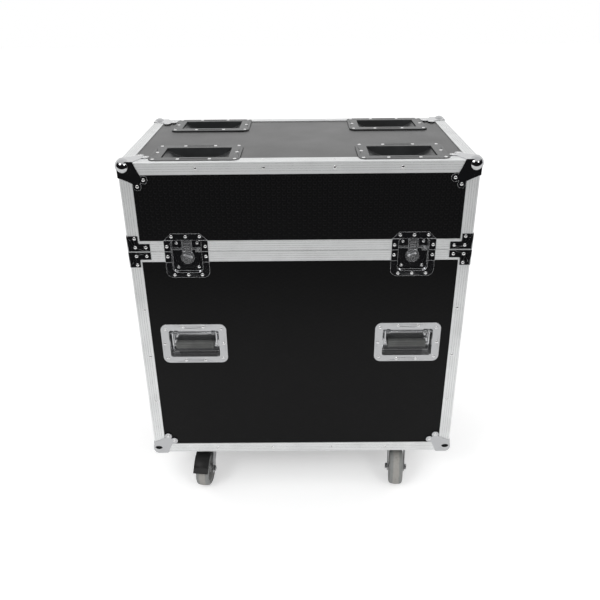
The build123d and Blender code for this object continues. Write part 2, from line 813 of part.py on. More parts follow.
# Handle dish, drawn with z out of the face and z = 0 at the plate's outer surface
with BuildPart() as handle_hollow:
    with BuildSketch():
        RectangleRounded(handle_dish_width, handle_dish_height, handle_dish_radius)
    extrude(amount=-handle_dish_depth)
    fillet(handle_hollow.faces().sort_by(Axis.Z)[0].edges(), handle_dish_radius - handle_wall)
with BuildPart() as handle_dish:
    with BuildSketch():
        RectangleRounded(handle_plate_width, handle_plate_height, handle_plate_radius)
    extrude(amount=-plate_thickness)
    with BuildSketch():
        RectangleRounded(
            handle_dish_width + 2 * handle_wall,
            handle_dish_height + 2 * handle_wall,
            handle_dish_radius + handle_wall,
        )
    extrude(amount=-handle_dish_depth - handle_wall)
    fillet(handle_dish.faces().sort_by(Axis.Z)[0].edges(), handle_dish_radius)
    add(handle_hollow.part, mode=Mode.SUBTRACT)
    with BuildSketch(Plane.YZ.offset(-handle_dish_width)):
        with Locations((handle_pivot_height, -handle_pivot_depth)):
            Circle(handle_bar_radius + running_clearance)
    extrude(amount=2 * handle_dish_width, mode=Mode.SUBTRACT)
pieces["handle_dishes"] = without(placed(handle_dish.part, *handle_places.values()), base_rivet_holes)

# Handle loop: a pivot bar, two side arms and the rod that the grip sits on
grip_y = handle_pivot_height - handle_grip_drop
with BuildPart() as handle_loop:
    bar_half = handle_dish_width / 2 + handle_wall + fit_gap
    with BuildSketch(Plane.YZ.offset(-bar_half)):
        with Locations((handle_pivot_height, -handle_pivot_depth)):
            Circle(handle_bar_radius)
    extrude(amount=2 * bar_half)
    for side in (-1, 1):
        with BuildSketch(Plane.YZ.offset(side * handle_arm_outer)):
            with Locations(((handle_pivot_height + grip_y) / 2, -handle_pivot_depth)):
                SlotCenterToCenter(handle_grip_drop, handle_arm_depth)
        extrude(amount=-side * handle_arm_thickness)
    with BuildSketch(Plane.YZ.offset(-handle_arm_outer)):
        with Locations((grip_y, -handle_pivot_depth)):
            Circle(handle_bar_radius)
    extrude(amount=2 * handle_arm_outer)

# Rubber grip with grooves along it
with BuildPart() as handle_grip:
    with BuildSketch(Plane.YZ.offset(-handle_grip_length / 2)):
        with Locations((grip_y, -handle_pivot_depth)):
            Circle(handle_grip_radius)
            Circle(handle_bar_radius + grip_fit_gap, mode=Mode.SUBTRACT)
    extrude(amount=handle_grip_length)
    fillet(handle_grip.edges().filter_by(GeomType.CIRCLE).sort_by(SortBy.RADIUS)[-2:], grip_end_radius)
    with BuildSketch(Plane.YZ.offset(-handle_grip_length / 2 + grip_groove_margin)):
        with Locations((grip_y, -handle_pivot_depth)):
            with PolarLocations(handle_grip_radius, grip_groove_count):
                Circle(grip_groove_radius)
    extrude(amount=handle_grip_length - 2 * grip_groove_margin, mode=Mode.SUBTRACT)

# Return springs wound round the pivot bar at each end
with BuildPart() as return_spring:
    with BuildLine() as coil:
        Helix(pitch=spring_pitch, height=spring_pitch * spring_turns, radius=spring_radius)
    with BuildSketch(Plane(origin=coil.line @ 0, z_dir=coil.line % 0)):
        Circle(spring_wire_radius)
    sweep()
coil_points = [coil.line @ (i / spring_samples) for i in range(spring_samples + 1)]
half_turn = spring_samples // (2 * spring_turns)
coil_gap = min(
    (a - b).length - 2 * spring_wire_radius
    for i, a in enumerate(coil_points)
    for b in coil_points[i + half_turn :]
)
spring_length = spring_pitch * spring_turns
spring_start = handle_arm_outer - handle_arm_thickness - spring_end_gap - spring_length
spring_shift = [
    Location((spring_start, handle_pivot_height, -handle_pivot_depth), (0, 90, 0)),
    Location((-spring_start, handle_pivot_height, -handle_pivot_depth), (0, -90, 0)),
]
pieces["handle_springs"] = placed(
    return_spring.part, *[place * shift for place in handle_places.values() for shift in spring_shift]
)
for name, place in handle_places.items():
    pieces[f"handle_loop_{name}"] = placed(handle_loop.part, place)
    pieces[f"handle_grip_{name}"] = placed(handle_grip.part, place)

# Latch, drawn with y up, z out of the face, and its origin on the split
half_gap = split_gap / 2
floor_z = -latch_dish_depth
under_floor = floor_z - latch_wall
outer_half = latch_outer_half
hook_axis_z = floor_z + hook_pivot_rise
ear_inner = hook_half_width + ear_gap
ear_outer = ear_inner + ear_thickness
tab_hole_z = floor_z + padlock_tab_reach - padlock_eye_inset

with BuildPart() as base_latch_dish:
    with BuildSketch(Plane.XY.offset(latch_on_panel)) as low_plate:
        with Locations((0, -rim_height)):
            Rectangle(2 * latch_half_width, latch_drop - rim_height, align=(Align.CENTER, Align.MAX))
        fillet(low_plate.vertices().group_by(Axis.Y)[0], latch_corner_radius)
    extrude(amount=-latch_flange)
    with BuildSketch():
        with Locations((0, -half_gap)):
            Rectangle(2 * latch_half_width, rim_height + latch_flange - half_gap, align=(Align.CENTER, Align.MAX))
    extrude(amount=latch_flange)
    with BuildSketch(Plane.XY.offset(latch_flange)):
        with Locations((0, -rim_height)):
            Rectangle(2 * latch_half_width, latch_flange, align=(Align.CENTER, Align.MAX))
    extrude(amount=-leg_wall - latch_flange)
    with BuildSketch(Plane.XY.offset(latch_on_panel)) as low_tray:
        with Locations((0, -half_gap)):
            Rectangle(2 * outer_half, latch_dish_drop + latch_wall - half_gap, align=(Align.CENTER, Align.MAX))
        fillet(low_tray.vertices().group_by(Axis.Y)[0], latch_dish_radius + latch_wall)
    extrude(amount=under_floor - latch_on_panel)
    with BuildSketch(Plane.XY.offset(latch_on_panel)):
        with Locations((0, -half_gap)):
            Rectangle(2 * outer_half, rim_height - half_gap, align=(Align.CENTER, Align.MAX))
    extrude(amount=leg_wall)
    with BuildSketch(Plane.XY.offset(floor_z)) as low_hollow:
        Rectangle(2 * latch_dish_half_width, latch_dish_drop, align=(Align.CENTER, Align.MAX))
        fillet(low_hollow.vertices().group_by(Axis.Y)[0], latch_dish_radius)
    extrude(amount=latch_dish_depth + plate_thickness + fit_gap, mode=Mode.SUBTRACT)
    # Two small ears carry the hook, and a level tab takes a padlock
    for side in (-1, 1):
        with BuildSketch(Plane.YZ.offset(side * ear_inner)):
            with Locations((-hook_pivot_drop, floor_z)):
                Rectangle(ear_width, ear_rise, align=(Align.CENTER, Align.MIN))
            with Locations((-hook_pivot_drop, hook_axis_z)):
                Circle(hook_pin_radius + running_clearance, mode=Mode.SUBTRACT)
        extrude(amount=side * ear_thickness)
    with BuildSketch(Plane.XZ.offset(padlock_tab_gap)):
        with Locations((padlock_eye_x, floor_z)):
            Rectangle(2 * padlock_tab_half_width, padlock_tab_reach, align=(Align.CENTER, Align.MIN))
        with Locations((padlock_eye_x, tab_hole_z)):
            Circle(padlock_hole_radius, mode=Mode.SUBTRACT)
    extrude(amount=padlock_tab_thickness)

lip_half_width = latch_half_width - latch_flange
with BuildPart() as lid_latch_dish:
    with BuildSketch(Plane.XY.offset(latch_on_panel)):
        with BuildLine():
            Polyline(
                (-latch_half_width, rim_height),
                (latch_half_width, rim_height),
                (latch_top_half_width, latch_rise),
                (-latch_top_half_width, latch_rise),
                close=True,
            )
        make_face()
    extrude(amount=-latch_flange)
    with BuildSketch():
        with Locations((0, half_gap)):
            Rectangle(2 * latch_half_width, rim_height - half_gap, align=(Align.CENTER, Align.MIN))
    extrude(amount=latch_flange)
    with BuildSketch(Plane.XY.offset(latch_flange)):
        with Locations((0, rim_height)):
            Rectangle(2 * lip_half_width, latch_flange, align=(Align.CENTER, Align.MIN))
    extrude(amount=-leg_wall - latch_flange)
    with BuildSketch(Plane.XY.offset(latch_flange)):
        with Locations((0, rim_height - latch_flange)):
            Rectangle(2 * lip_half_width, latch_flange, align=(Align.CENTER, Align.MIN))
    extrude(amount=-latch_flange)
    with BuildSketch(Plane.XY.offset(latch_on_panel)) as high_tray:
        with Locations((0, half_gap)):
            Rectangle(2 * outer_half, latch_dish_rise + latch_wall - half_gap, align=(Align.CENTER, Align.MIN))
        fillet(high_tray.vertices().group_by(Axis.Y)[-1], latch_top_corner_radius + latch_wall)
    extrude(amount=under_floor - latch_on_panel)
    with BuildSketch(Plane.XY.offset(latch_on_panel)):
        with Locations((0, half_gap)):
            Rectangle(2 * outer_half, rim_height - half_gap, align=(Align.CENTER, Align.MIN))
    extrude(amount=leg_wall)
    with BuildSketch(Plane.XY.offset(floor_z)) as high_hollow:
        Rectangle(2 * latch_dish_half_width, latch_dish_rise, align=(Align.CENTER, Align.MIN))
        fillet(high_hollow.vertices().group_by(Axis.Y)[-1], latch_top_corner_radius)
    extrude(amount=latch_dish_depth + plate_thickness + fit_gap, mode=Mode.SUBTRACT)
    # The keeper ridge, the walls of the two pockets and the lid's padlock tab
    ridge_low, ridge_high = hook_top - keeper_low_gap, hook_top - keeper_high_gap
    with BuildSketch(Plane.XY.offset(floor_z)):
        with Locations((0, ridge_low)):
            Rectangle(2 * (hook_half_width - half_gap), ridge_high - ridge_low, align=(Align.CENTER, Align.MIN))
    extrude(amount=keeper_height)
    pocket_inner = hook_half_width + pocket_gap
    pocket_width = latch_dish_half_width - pocket_inner
    with BuildSketch(Plane.XY.offset(floor_z)):
        for side in (-1, 1):
            with Locations((side * (pocket_inner + pocket_wall / 2), pocket_start)):
                Rectangle(pocket_wall, latch_dish_rise - pocket_start, align=(Align.CENTER, Align.MIN))
            with Locations((side * (pocket_inner + pocket_width / 2), pocket_start)):
                Rectangle(pocket_width, pocket_wall, align=(Align.CENTER, Align.MIN))
    extrude(amount=pocket_height)
    tab_end = padlock_tab_gap + padlock_tab_thickness
    with BuildSketch(Plane.XZ.offset(-tab_end)):
        with Locations((padlock_eye_x, tab_hole_z)):
            Circle(padlock_notch_radius)
    extrude(amount=-pocket_start - 2 * pocket_wall, mode=Mode.SUBTRACT)
    with BuildSketch(Plane.XZ.offset(-tab_end)):
        with Locations((padlock_eye_x, floor_z)):
            Rectangle(2 * padlock_tab_half_width, padlock_tab_reach, align=(Align.CENTER, Align.MIN))
        with Locations((padlock_eye_x, tab_hole_z)):
            Circle(padlock_hole_radius, mode=Mode.SUBTRACT)
    extrude(amount=padlock_tab_thickness)

# Rotor: a disc on the dish floor with a stem and the yoke that carries the wing
disc_back = floor_z + rotor_floor_gap
disc_front = disc_back + rotor_disc_thickness
stem_height = wing_axis_z - wing_barrel_radius - wing_stem_gap - disc_front
with BuildPart() as latch_rotor:
    with BuildSketch(Plane.XY.offset(disc_back)):
        Circle(rotor_disc_radius)
    extrude(amount=disc_front - disc_back)
    with BuildSketch(Plane.XY.offset(disc_front)):
        with Locations((0, wing_offset)):
            Rectangle(2 * yoke_half, 2 * wing_barrel_radius)
        Circle(rotor_stem_radius)
    extrude(amount=stem_height)
    for side in (-1, 1):
        with BuildSketch(Plane.YZ.offset(side * yoke_inner)):
            with Locations((wing_offset, disc_front)):
                Rectangle(2 * wing_barrel_radius, wing_axis_z - disc_front, align=(Align.CENTER, Align.MIN))
            with Locations((wing_offset, wing_axis_z)):
                Circle(wing_barrel_radius)
                Circle(wing_pin_radius + running_clearance, mode=Mode.SUBTRACT)
        extrude(amount=side * (yoke_half - yoke_inner))

# Wing: a shield-shaped plate hanging from its barrel, with a raised middle
wing_front = wing_axis_z + wing_barrel_radius + wing_stem_gap + fit_gap / 10
with BuildPart() as latch_wing:
    with BuildSketch(Plane.XY.offset(wing_front - wing_thickness)):
        with BuildLine():
            Polyline((-8, 6), (8, 6), (9.6, -4), (0, -12), (-9.6, -4), close=True)
        make_face()
    extrude(amount=wing_thickness)
    with BuildSketch(Plane.XY.offset(wing_front)):
        with BuildLine():
            Polyline((-4.5, 2), (4.5, 2), (5.2, -3.2), (0, -7.4), (-5.2, -3.2), close=True)
        make_face()
    extrude(amount=wing_boss_height)
    with BuildSketch(Plane.YZ.offset(-yoke_inner + wing_side_gap)):
        with Locations((wing_offset, wing_axis_z)):
            Circle(wing_barrel_radius)
    extrude(amount=2 * (yoke_inner - wing_side_gap))
    with BuildSketch(Plane.YZ.offset(-yoke_half)):
        with Locations((wing_offset, wing_axis_z)):
            Circle(wing_pin_radius)
    extrude(amount=2 * yoke_half)

# Hook: a ribbed plate that tips outwards about its foot and catches behind the keeper ridge
plate_back = floor_z + hook_floor_gap
plate_front = plate_back + hook_thickness
with BuildPart() as latch_hook:
    with BuildSketch(Plane.XY.offset(plate_back)):
        with Locations((0, -hook_pivot_drop)):
            Rectangle(2 * hook_half_width, hook_top + hook_pivot_drop, align=(Align.CENTER, Align.MIN))
    extrude(amount=hook_thickness)
    with BuildSketch(Plane.XY.offset(plate_back)):
        with Locations((0, hook_top)):
            Rectangle(2 * hook_half_width, hook_lip_thickness, align=(Align.CENTER, Align.MAX))
    extrude(amount=-hook_lip_depth)
    with BuildSketch(Plane.XY.offset(plate_front)):
        with Locations(*[(0, y) for y in hook_rib_heights]):
            SlotOverall(2 * hook_half_width - hook_lip_depth, hook_lip_thickness)
    extrude(amount=hook_rib_height)
    with BuildSketch(Plane.YZ.offset(-ear_outer)):
        with Locations((-hook_pivot_drop, hook_axis_z)):
            Circle(hook_pin_radius)
    extrude(amount=2 * ear_outer)

pieces["latch_base_dishes"] = without(placed(base_latch_dish.part, *latch_places.values()), base_rivet_holes)
pieces["latch_lid_dishes"] = without(placed(lid_latch_dish.part, *latch_places.values()), lid_rivet_holes)
for name, place in latch_places.items():
    turn = -wing_tilt if name == "left" else wing_tilt
    centre = place * Location((0, -rotor_drop, 0), (0, 0, turn))
    pieces[f"latch_rotor_{name}"] = placed(latch_rotor.part, centre)
    pieces[f"latch_wing_{name}"] = placed(latch_wing.part, centre)
    pieces[f"latch_hook_{name}"] = placed(latch_hook.part, place)

# Caster cup, drawn with z up from the framework's surface and the nearer edge of the case at -y
with BuildPart() as caster_cup:
    with BuildSketch(Plane.XY.offset(-leg_wall)):
        RectangleRounded(cup_width, cup_depth, cup_corner_radius)
    extrude(amount=leg_wall + cup_flange)
    with BuildSketch(Plane.XY.offset(-leg_wall)):
        with Locations((0, leg_width + cup_leg_gap - cup_depth / 2)):
            Rectangle(2 * cup_width, cup_depth, align=(Align.CENTER, Align.MAX))
    extrude(amount=leg_wall, mode=Mode.SUBTRACT)
    half_recess = cup_recess_width / 2
    for grow, top, mode in ((cup_wall, 0, Mode.ADD), (0, cup_flange + fit_gap, Mode.SUBTRACT)):
        with BuildSketch(Plane.XZ.offset(-cup_recess_depth / 2 - grow)):
            with BuildLine():
                Polyline(
                    (-half_recess - grow, -cup_end_depth - grow),
                    (-half_recess - grow, top),
                    (half_recess + grow, top),
                    (half_recess + grow, -cup_end_depth - grow),
                )
                ThreePointArc(
                    (half_recess + grow, -cup_end_depth - grow),
                    (0, -cup_middle_depth - grow),
                    (-half_recess - grow, -cup_end_depth - grow),
                )
            make_face()
        extrude(amount=cup_recess_depth + 2 * grow, mode=mode)
pieces["caster_cups"] = without(placed(caster_cup.part, *cup_places), lid_rivet_holes)

# Caster plate with its fixed race and king pin, drawn about the swivel axis with the floor at z = 0
skirt_low = fork_top_z + race_skirt_gap
pin_low = fork_low - king_pin_reach
with BuildPart() as caster_plate:
    with BuildSketch(Plane.XY.offset(plate_low)):
        RectangleRounded(caster_plate_width, caster_plate_depth, caster_corner_radius)
        with Locations(*[(sx * caster_bolt_x, sy * caster_bolt_y) for sx in (-1, 1) for sy in (-1, 1)]):
            Circle(bolt_hole_radius, mode=Mode.SUBTRACT)
    extrude(amount=caster_plate_thickness)
    with BuildSketch(Plane.XY.offset(race_low)):
        Circle(race_radius)
    extrude(amount=race_thickness)
    with BuildSketch(Plane.XY.offset(skirt_low)):
        Circle(race_radius)
        Circle(race_radius - race_skirt, mode=Mode.SUBTRACT)
    extrude(amount=race_low - skirt_low)
    with BuildSketch(Plane.XY.offset(pin_low)):
        Circle(king_pin_radius)
    extrude(amount=race_low - pin_low)
    with BuildSketch(Plane.XY.offset(pin_low)):
        RegularPolygon(king_nut_radius, 6)
    extrude(amount=king_pin_reach - king_nut_gap)
pieces["caster_plates"] = placed(caster_plate.part, *plate_places)

with BuildPart() as bearing_balls:
    with Locations(Location((0, 0, fork_top_z + bearing_ball_radius + race_gap / 2))):
        with PolarLocations(ball_ring_radius, ball_count):
            Sphere(bearing_ball_radius)
pieces["caster_bearing_balls"] = placed(bearing_balls.part, *plate_places)

# Bolts with their heads on the floor panel inside and their nuts under the plates
head_low = underside_z + slot_depth
shank_low = plate_low - nut_height - bolt_end
with BuildPart() as caster_bolt:
    with BuildSketch(Plane.XY.offset(head_low)):
        Circle(bolt_head_radius)
    extrude(amount=bolt_head_height)
    with BuildSketch(Plane.XY.offset(shank_low)):
        Circle(bolt_radius)
    extrude(amount=head_low - shank_low)
with BuildPart() as caster_nut:
    with BuildSketch(Plane.XY.offset(plate_low - nut_height)):
        RegularPolygon(nut_radius, 6)
        Circle(bolt_radius + thread_gap, mode=Mode.SUBTRACT)
    extrude(amount=nut_height)
pieces["caster_bolts"] = joined(
    [placed(caster_bolt.part, *bolt_places), placed(caster_nut.part, *bolt_places)]
)

# Caster fork: a top disc with two cheeks that reach forward to the axle, and the axle bolt with its nut
axle_y = -caster_trail
axle_z = wheel_radius
pedal_pivot_y = axle_y + pedal_pin_forward
pedal_pivot_z = axle_z + wheel_radius + pedal_pin_rise
cheek_outer = fork_inner + fork_thickness
cheek_high = fork_top_z - fit_gap
cheek_shoulder = fork_low - cheek_shoulder_drop
eye_angle = radians(-cheek_eye_slant)
eye_back = (axle_y + cheek_eye_radius * cos(eye_angle), axle_z + cheek_eye_radius * sin(eye_angle))
eye_front = (axle_y - cheek_eye_radius, axle_z)
with BuildPart() as caster_fork:
    with BuildSketch(Plane.XY.offset(fork_low)):
        Circle(fork_disc_radius)
        Circle(king_pin_radius + running_clearance, mode=Mode.SUBTRACT)
    extrude(amount=fork_top_z - fork_low)
    for side in (-1, 1):
        with BuildSketch(Plane.YZ.offset(side * fork_inner)):
            with BuildLine():
                Polyline((cheek_top, cheek_high), (cheek_back, cheek_shoulder), eye_back)
                ThreePointArc(eye_back, (axle_y, axle_z - cheek_eye_radius), eye_front)
                Line(eye_front, (cheek_front, fork_low - cheek_front_drop))
                Line((cheek_front, fork_low - cheek_front_drop), (-cheek_top, cheek_high))
                Line((-cheek_top, cheek_high), (cheek_top, cheek_high))
            make_face()
            with Locations((axle_y, axle_z)):
                Circle(axle_radius + thread_gap, mode=Mode.SUBTRACT)
            with Locations((pedal_pivot_y, pedal_pivot_z)):
                Circle(pedal_pin_radius + running_clearance, mode=Mode.SUBTRACT)
        extrude(amount=side * fork_thickness)
with BuildPart() as axle_bolt:
    with BuildSketch(Plane.YZ.offset(-cheek_outer - axle_head)):
        with Locations((axle_y, axle_z)):
            RegularPolygon(axle_hex_radius, 6)
    extrude(amount=axle_head)
    with BuildSketch(Plane.YZ.offset(-cheek_outer - axle_head)):
        with Locations((axle_y, axle_z)):
            Circle(axle_radius)
    extrude(amount=2 * cheek_outer + axle_head + axle_nut_height + axle_end)
with BuildPart() as axle_nut:
    with BuildSketch(Plane.YZ.offset(cheek_outer)):
        with Locations((axle_y, axle_z)):
            RegularPolygon(axle_hex_radius, 6)
            Circle(axle_radius + thread_gap, mode=Mode.SUBTRACT)
    extrude(amount=axle_nut_height)

# Wheel: a hub and web that turn on the axle, inside a crowned tyre
wheel_core_radius = wheel_radius - tyre_depth
rim_inner = wheel_core_radius - rim_thickness
slope_radius = hub_radius + hub_slope[1]
wheel_side = [
    (hub_half, axle_radius + running_clearance),
    (hub_half, hub_radius),
    (hub_slope[0], slope_radius),
    (web_half, slope_radius + hub_foot),
    (web_half, rim_inner - rim_slope),
    (rim_half, rim_inner),
    (rim_half, wheel_core_radius),
]
with BuildPart() as caster_wheel:
    with BuildSketch(Plane.XZ):
        with BuildLine():
            Polyline(*wheel_side, *[(-u, v) for u, v in reversed(wheel_side)], close=True)
        make_face()
    revolve(axis=Axis.X)
lip_radius = wheel_core_radius + tyre_lip
shoulder_x, shoulder_radius = tyre_shoulder[0], wheel_radius - tyre_shoulder[1]
tread_edges = [(side * tyre_tread[0], wheel_radius - tyre_tread[1]) for side in (-1, 1)]
with BuildPart() as caster_tyre:
    with BuildSketch(Plane.XZ):
        with BuildLine():
            Line((-wheel_half_width, lip_radius), (-rim_half, wheel_core_radius))
            Line((-rim_half, wheel_core_radius), (rim_half, wheel_core_radius))
            Line((rim_half, wheel_core_radius), (wheel_half_width, lip_radius))
            ThreePointArc((wheel_half_width, lip_radius), (shoulder_x, shoulder_radius), tread_edges[1])
            ThreePointArc(tread_edges[1], (0, wheel_radius), tread_edges[0])
            ThreePointArc(tread_edges[0], (-shoulder_x, shoulder_radius), (-wheel_half_width, lip_radius))
        make_face()
    revolve(axis=Axis.X)
wheel_shift = Location((0, axle_y, axle_z))

# Brake pedal: a plate that follows the wheel from its pivot pin and ends in a toe lip
pedal_angles = [radians(angle) for angle in (pedal_start, (pedal_start + pedal_end) / 2, pedal_end)]
pedal_inner, pedal_outer = [
    [(axle_y + radius * cos(angle), axle_z + radius * sin(angle)) for angle in pedal_angles]
    for radius in (wheel_radius + pedal_gap, wheel_radius + pedal_gap + pedal_thickness)
]
toe_y, toe_z = axle_y - pedal_toe[0], axle_z + pedal_toe[1]
side_end = (pedal_angles[0] + pedal_angles[1]) / 2
side_radius = wheel_radius + pedal_gap - 2 * pedal_side_wall
side_corner = (axle_y + side_radius * cos(side_end), axle_z + side_radius * sin(side_end))
with BuildPart() as brake_pedal:
    with BuildSketch(Plane.YZ.offset(-pedal_half_width)):
        with BuildLine():
            ThreePointArc(*pedal_inner)
            Polyline(pedal_inner[2], (toe_y, toe_z), (toe_y, toe_z + pedal_thickness), pedal_outer[2])
            ThreePointArc(*pedal_outer)
            Line(pedal_outer[0], pedal_inner[0])
        make_face()
    extrude(amount=2 * pedal_half_width)
    for side in (-1, 1):
        with BuildSketch(Plane.YZ.offset(side * (pedal_half_width - pedal_side_wall))):
            with BuildLine():
                Polyline(
                    (pedal_pivot_y + 2 * pedal_pin_radius, pedal_pivot_z - pedal_pin_radius),
                    (pedal_pivot_y + 2 * pedal_pin_radius, pedal_pivot_z + 2 * pedal_pin_radius),
                    pedal_outer[0],
                    pedal_inner[1],
                    side_corner,
                    (pedal_pivot_y - 2 * pedal_pin_radius, pedal_pivot_z - 2 * pedal_pin_radius),
                    close=True,
                )
            make_face()
        extrude(amount=side * pedal_side_wall)
    with BuildSketch(Plane.YZ.offset(-cheek_outer)):
        with Locations((pedal_pivot_y, pedal_pivot_z)):
            Circle(pedal_pin_radius)
    extrude(amount=2 * cheek_outer)

for name, place in caster_places.items():
    pieces[f"caster_fork_{name}"] = joined(
        [placed(shape.part, place) for shape in (caster_fork, axle_bolt, axle_nut)]
    )
    pieces[f"caster_wheel_{name}"] = placed(caster_wheel.part, place * wheel_shift)
    pieces[f"caster_tyre_{name}"] = placed(caster_tyre.part, place * wheel_shift)
for name in ("front_left", "back_right"):
    pieces[f"brake_pedal_{name}"] = placed(brake_pedal.part, caster_places[name])

# Hinges on the back: leaves with interleaved knuckles, and a pin that stays with the lid's leaf
segment = hinge_width / 5
pin_y = half_depth + hinge_offset
plate_inner_gap = knuckle_radius + hinge_leaf_gap


def hinge_leaf(segments, up, bore):
    """A leaf above (up = 1) or below the split, with knuckles on the given segments."""
    with BuildPart() as leaf:
        with BuildSketch(Plane.XZ.offset(-half_depth)):
            with Locations((0, split_z + up * (plate_inner_gap + hinge_leaf_height) / 2)):
                Rectangle(hinge_width, hinge_leaf_height - plate_inner_gap)
        extrude(amount=-plate_thickness)
        for i in segments:
            low = -hinge_width / 2 + i * segment + knuckle_gap / 2
            with BuildSketch(Plane.YZ.offset(low)):
                with Locations((half_depth, split_z)):
                    Rectangle(
                        plate_thickness,
                        plate_inner_gap + fit_gap,
                        align=(Align.MIN, Align.MIN if up > 0 else Align.MAX),
                    )
                with Locations((pin_y, split_z)):
                    Circle(knuckle_radius)
                    Circle(bore, mode=Mode.SUBTRACT)
            extrude(amount=segment - knuckle_gap)
    return leaf.part


with BuildPart() as hinge_pin:
    with BuildSketch(Plane.YZ.offset(-hinge_width / 2)):
        with Locations((pin_y, split_z)):
            Circle(hinge_pin_radius)
    extrude(amount=hinge_width)
hinge_places = [Location((x, 0, 0)) for x in hinge_xs]
base_leaf = hinge_leaf((0, 2, 4), -1, hinge_pin_radius + running_clearance)
lid_leaf = hinge_leaf((1, 3), 1, hinge_pin_radius + hinge_pin_gap)
pieces["hinge_base_leaves"] = without(placed(base_leaf, *hinge_places), base_rivet_holes)
lid_leaves = without(placed(lid_leaf, *hinge_places), lid_rivet_holes)
pieces["hinge_lid_leaves"] = joined([lid_leaves, placed(hinge_pin.part, *hinge_places)])

# Soft padding on the floor and under the lid's top, cut round what stands in its way
pad_half_width = half_width - web_depth - slot_flange - pad_gap
pad_half_depth = half_depth - web_depth - slot_flange - pad_gap
with BuildPart() as bolt_pocket:
    with BuildSketch(Plane.XY.offset(head_low)):
        Circle(bolt_pocket_radius)
    extrude(amount=bolt_head_height + pad_gap)
pieces["floor_pad"] = without(
    block(
        (-pad_half_width, -pad_half_depth, head_low),
        (pad_half_width, pad_half_depth, head_low + floor_pad_thickness),
    ),
    placed(bolt_pocket.part, *bolt_places),
)
lid_ceiling = top_z - slot_depth
pieces["lid_pad"] = without(
    block(
        (-pad_half_width, -pad_half_depth, lid_ceiling - lid_pad_thickness),
        (pad_half_width, pad_half_depth, lid_ceiling),
    ),
    cup_cuts,
)

# Dividers that stand in channels on the side panels
inner_half_depth = half_depth - slot_depth
slot_width = (2 * inner_half_depth - divider_count * divider_thickness) / (divider_count + 1)
divider_ys = [
    -inner_half_depth + (i + 1) * slot_width + (i + 0.5) * divider_thickness for i in range(divider_count)
]
channel_back = half_width - slot_depth
channel_half = divider_thickness / 2 + channel_slack + channel_wall
divider_half_width = channel_back - channel_wall - fit_gap
divider = block(
    (-divider_half_width, -divider_thickness / 2, divider_bottom),
    (divider_half_width, divider_thickness / 2, divider_top),
)
pieces["plate_dividers"] = placed(divider, *[Location((0, y, 0)) for y in divider_ys])
with BuildPart() as channel:
    with BuildSketch(Plane.XY.offset(divider_bottom)):
        with Locations((channel_back, 0)):
            Rectangle(channel_depth, 2 * channel_half, align=(Align.MAX, Align.CENTER))
        with Locations((channel_back - channel_wall, 0)):
            Rectangle(
                channel_depth,
                2 * (channel_half - channel_wall),
                align=(Align.MAX, Align.CENTER),
                mode=Mode.SUBTRACT,
            )
    extrude(amount=divider_top - divider_bottom)
channel_places = [
    Location((0, side * y, 0), (0, 0, 0 if side > 0 else 180)) for y in divider_ys for side in (-1, 1)
]
pieces["divider_channels"] = placed(channel.part, *channel_places)

# The origin is moved to the middle of the whole footprint, on the floor
boxes = [piece.bounding_box() for piece in pieces.values()]
footprint_x = (min(box.min.X for box in boxes) + max(box.max.X for box in boxes)) / 2
footprint_y = (min(box.min.Y for box in boxes) + max(box.max.Y for box in boxes)) / 2
centring = Location((-footprint_x, -footprint_y, 0))

os.makedirs("parts", exist_ok=True)
for name, piece in pieces.items():
    finished = piece.moved(centring)
    finished.label = name
    export_step(finished, f"parts/{name}.step")
print("pieces", len(pieces), "centring", footprint_x, footprint_y)
print("least gap between the springs' turns", round(coil_gap, 3))
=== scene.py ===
"""Finishes, foam padding and stage for a wheeled flight case that carries truss base plates."""

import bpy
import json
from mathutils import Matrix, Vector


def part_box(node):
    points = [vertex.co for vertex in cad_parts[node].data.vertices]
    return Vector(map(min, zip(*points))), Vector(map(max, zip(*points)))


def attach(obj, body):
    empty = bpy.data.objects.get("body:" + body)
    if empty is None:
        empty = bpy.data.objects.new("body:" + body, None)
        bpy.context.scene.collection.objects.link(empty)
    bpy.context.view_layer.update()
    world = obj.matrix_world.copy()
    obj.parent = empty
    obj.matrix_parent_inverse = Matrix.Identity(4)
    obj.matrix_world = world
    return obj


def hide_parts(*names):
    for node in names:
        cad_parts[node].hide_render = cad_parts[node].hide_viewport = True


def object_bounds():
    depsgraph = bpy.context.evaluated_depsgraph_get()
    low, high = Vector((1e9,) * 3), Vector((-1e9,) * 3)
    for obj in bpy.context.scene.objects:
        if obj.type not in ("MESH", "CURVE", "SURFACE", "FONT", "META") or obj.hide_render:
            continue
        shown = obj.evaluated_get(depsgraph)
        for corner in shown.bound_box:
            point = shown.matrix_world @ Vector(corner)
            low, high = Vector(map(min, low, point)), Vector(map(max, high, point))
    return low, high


bl_info = {
    "name": "Truss Base Flight Case",
    "version": (1, 0, 0),
    "blender": (4, 5, 0),
    "location": "3D View > Sidebar > Flight Case",
    "description": "Finishes the packed flight case and sets up its stage",
    "category": "Object",
}

import json
from math import cos, pi, radians, sin

import bpy
import numpy as np
from bpy.props import FloatProperty, FloatVectorProperty, PointerProperty
from mathutils import Matrix, Vector

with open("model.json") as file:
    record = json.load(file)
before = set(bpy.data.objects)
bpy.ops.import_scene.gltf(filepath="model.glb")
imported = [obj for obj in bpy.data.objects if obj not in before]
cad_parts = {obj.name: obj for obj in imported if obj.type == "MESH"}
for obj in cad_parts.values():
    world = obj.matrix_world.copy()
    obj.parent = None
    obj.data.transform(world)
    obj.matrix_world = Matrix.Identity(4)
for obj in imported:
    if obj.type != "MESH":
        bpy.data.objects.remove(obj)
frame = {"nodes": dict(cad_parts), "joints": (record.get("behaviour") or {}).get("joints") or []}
CAD_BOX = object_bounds()
NODES = frame["nodes"]
JOINTS = {joint["name"]: joint for joint in frame["joints"]}
CASTERS = ("front_left", "front_right", "back_left", "back_right")
SHARP_EDGE = radians(32)
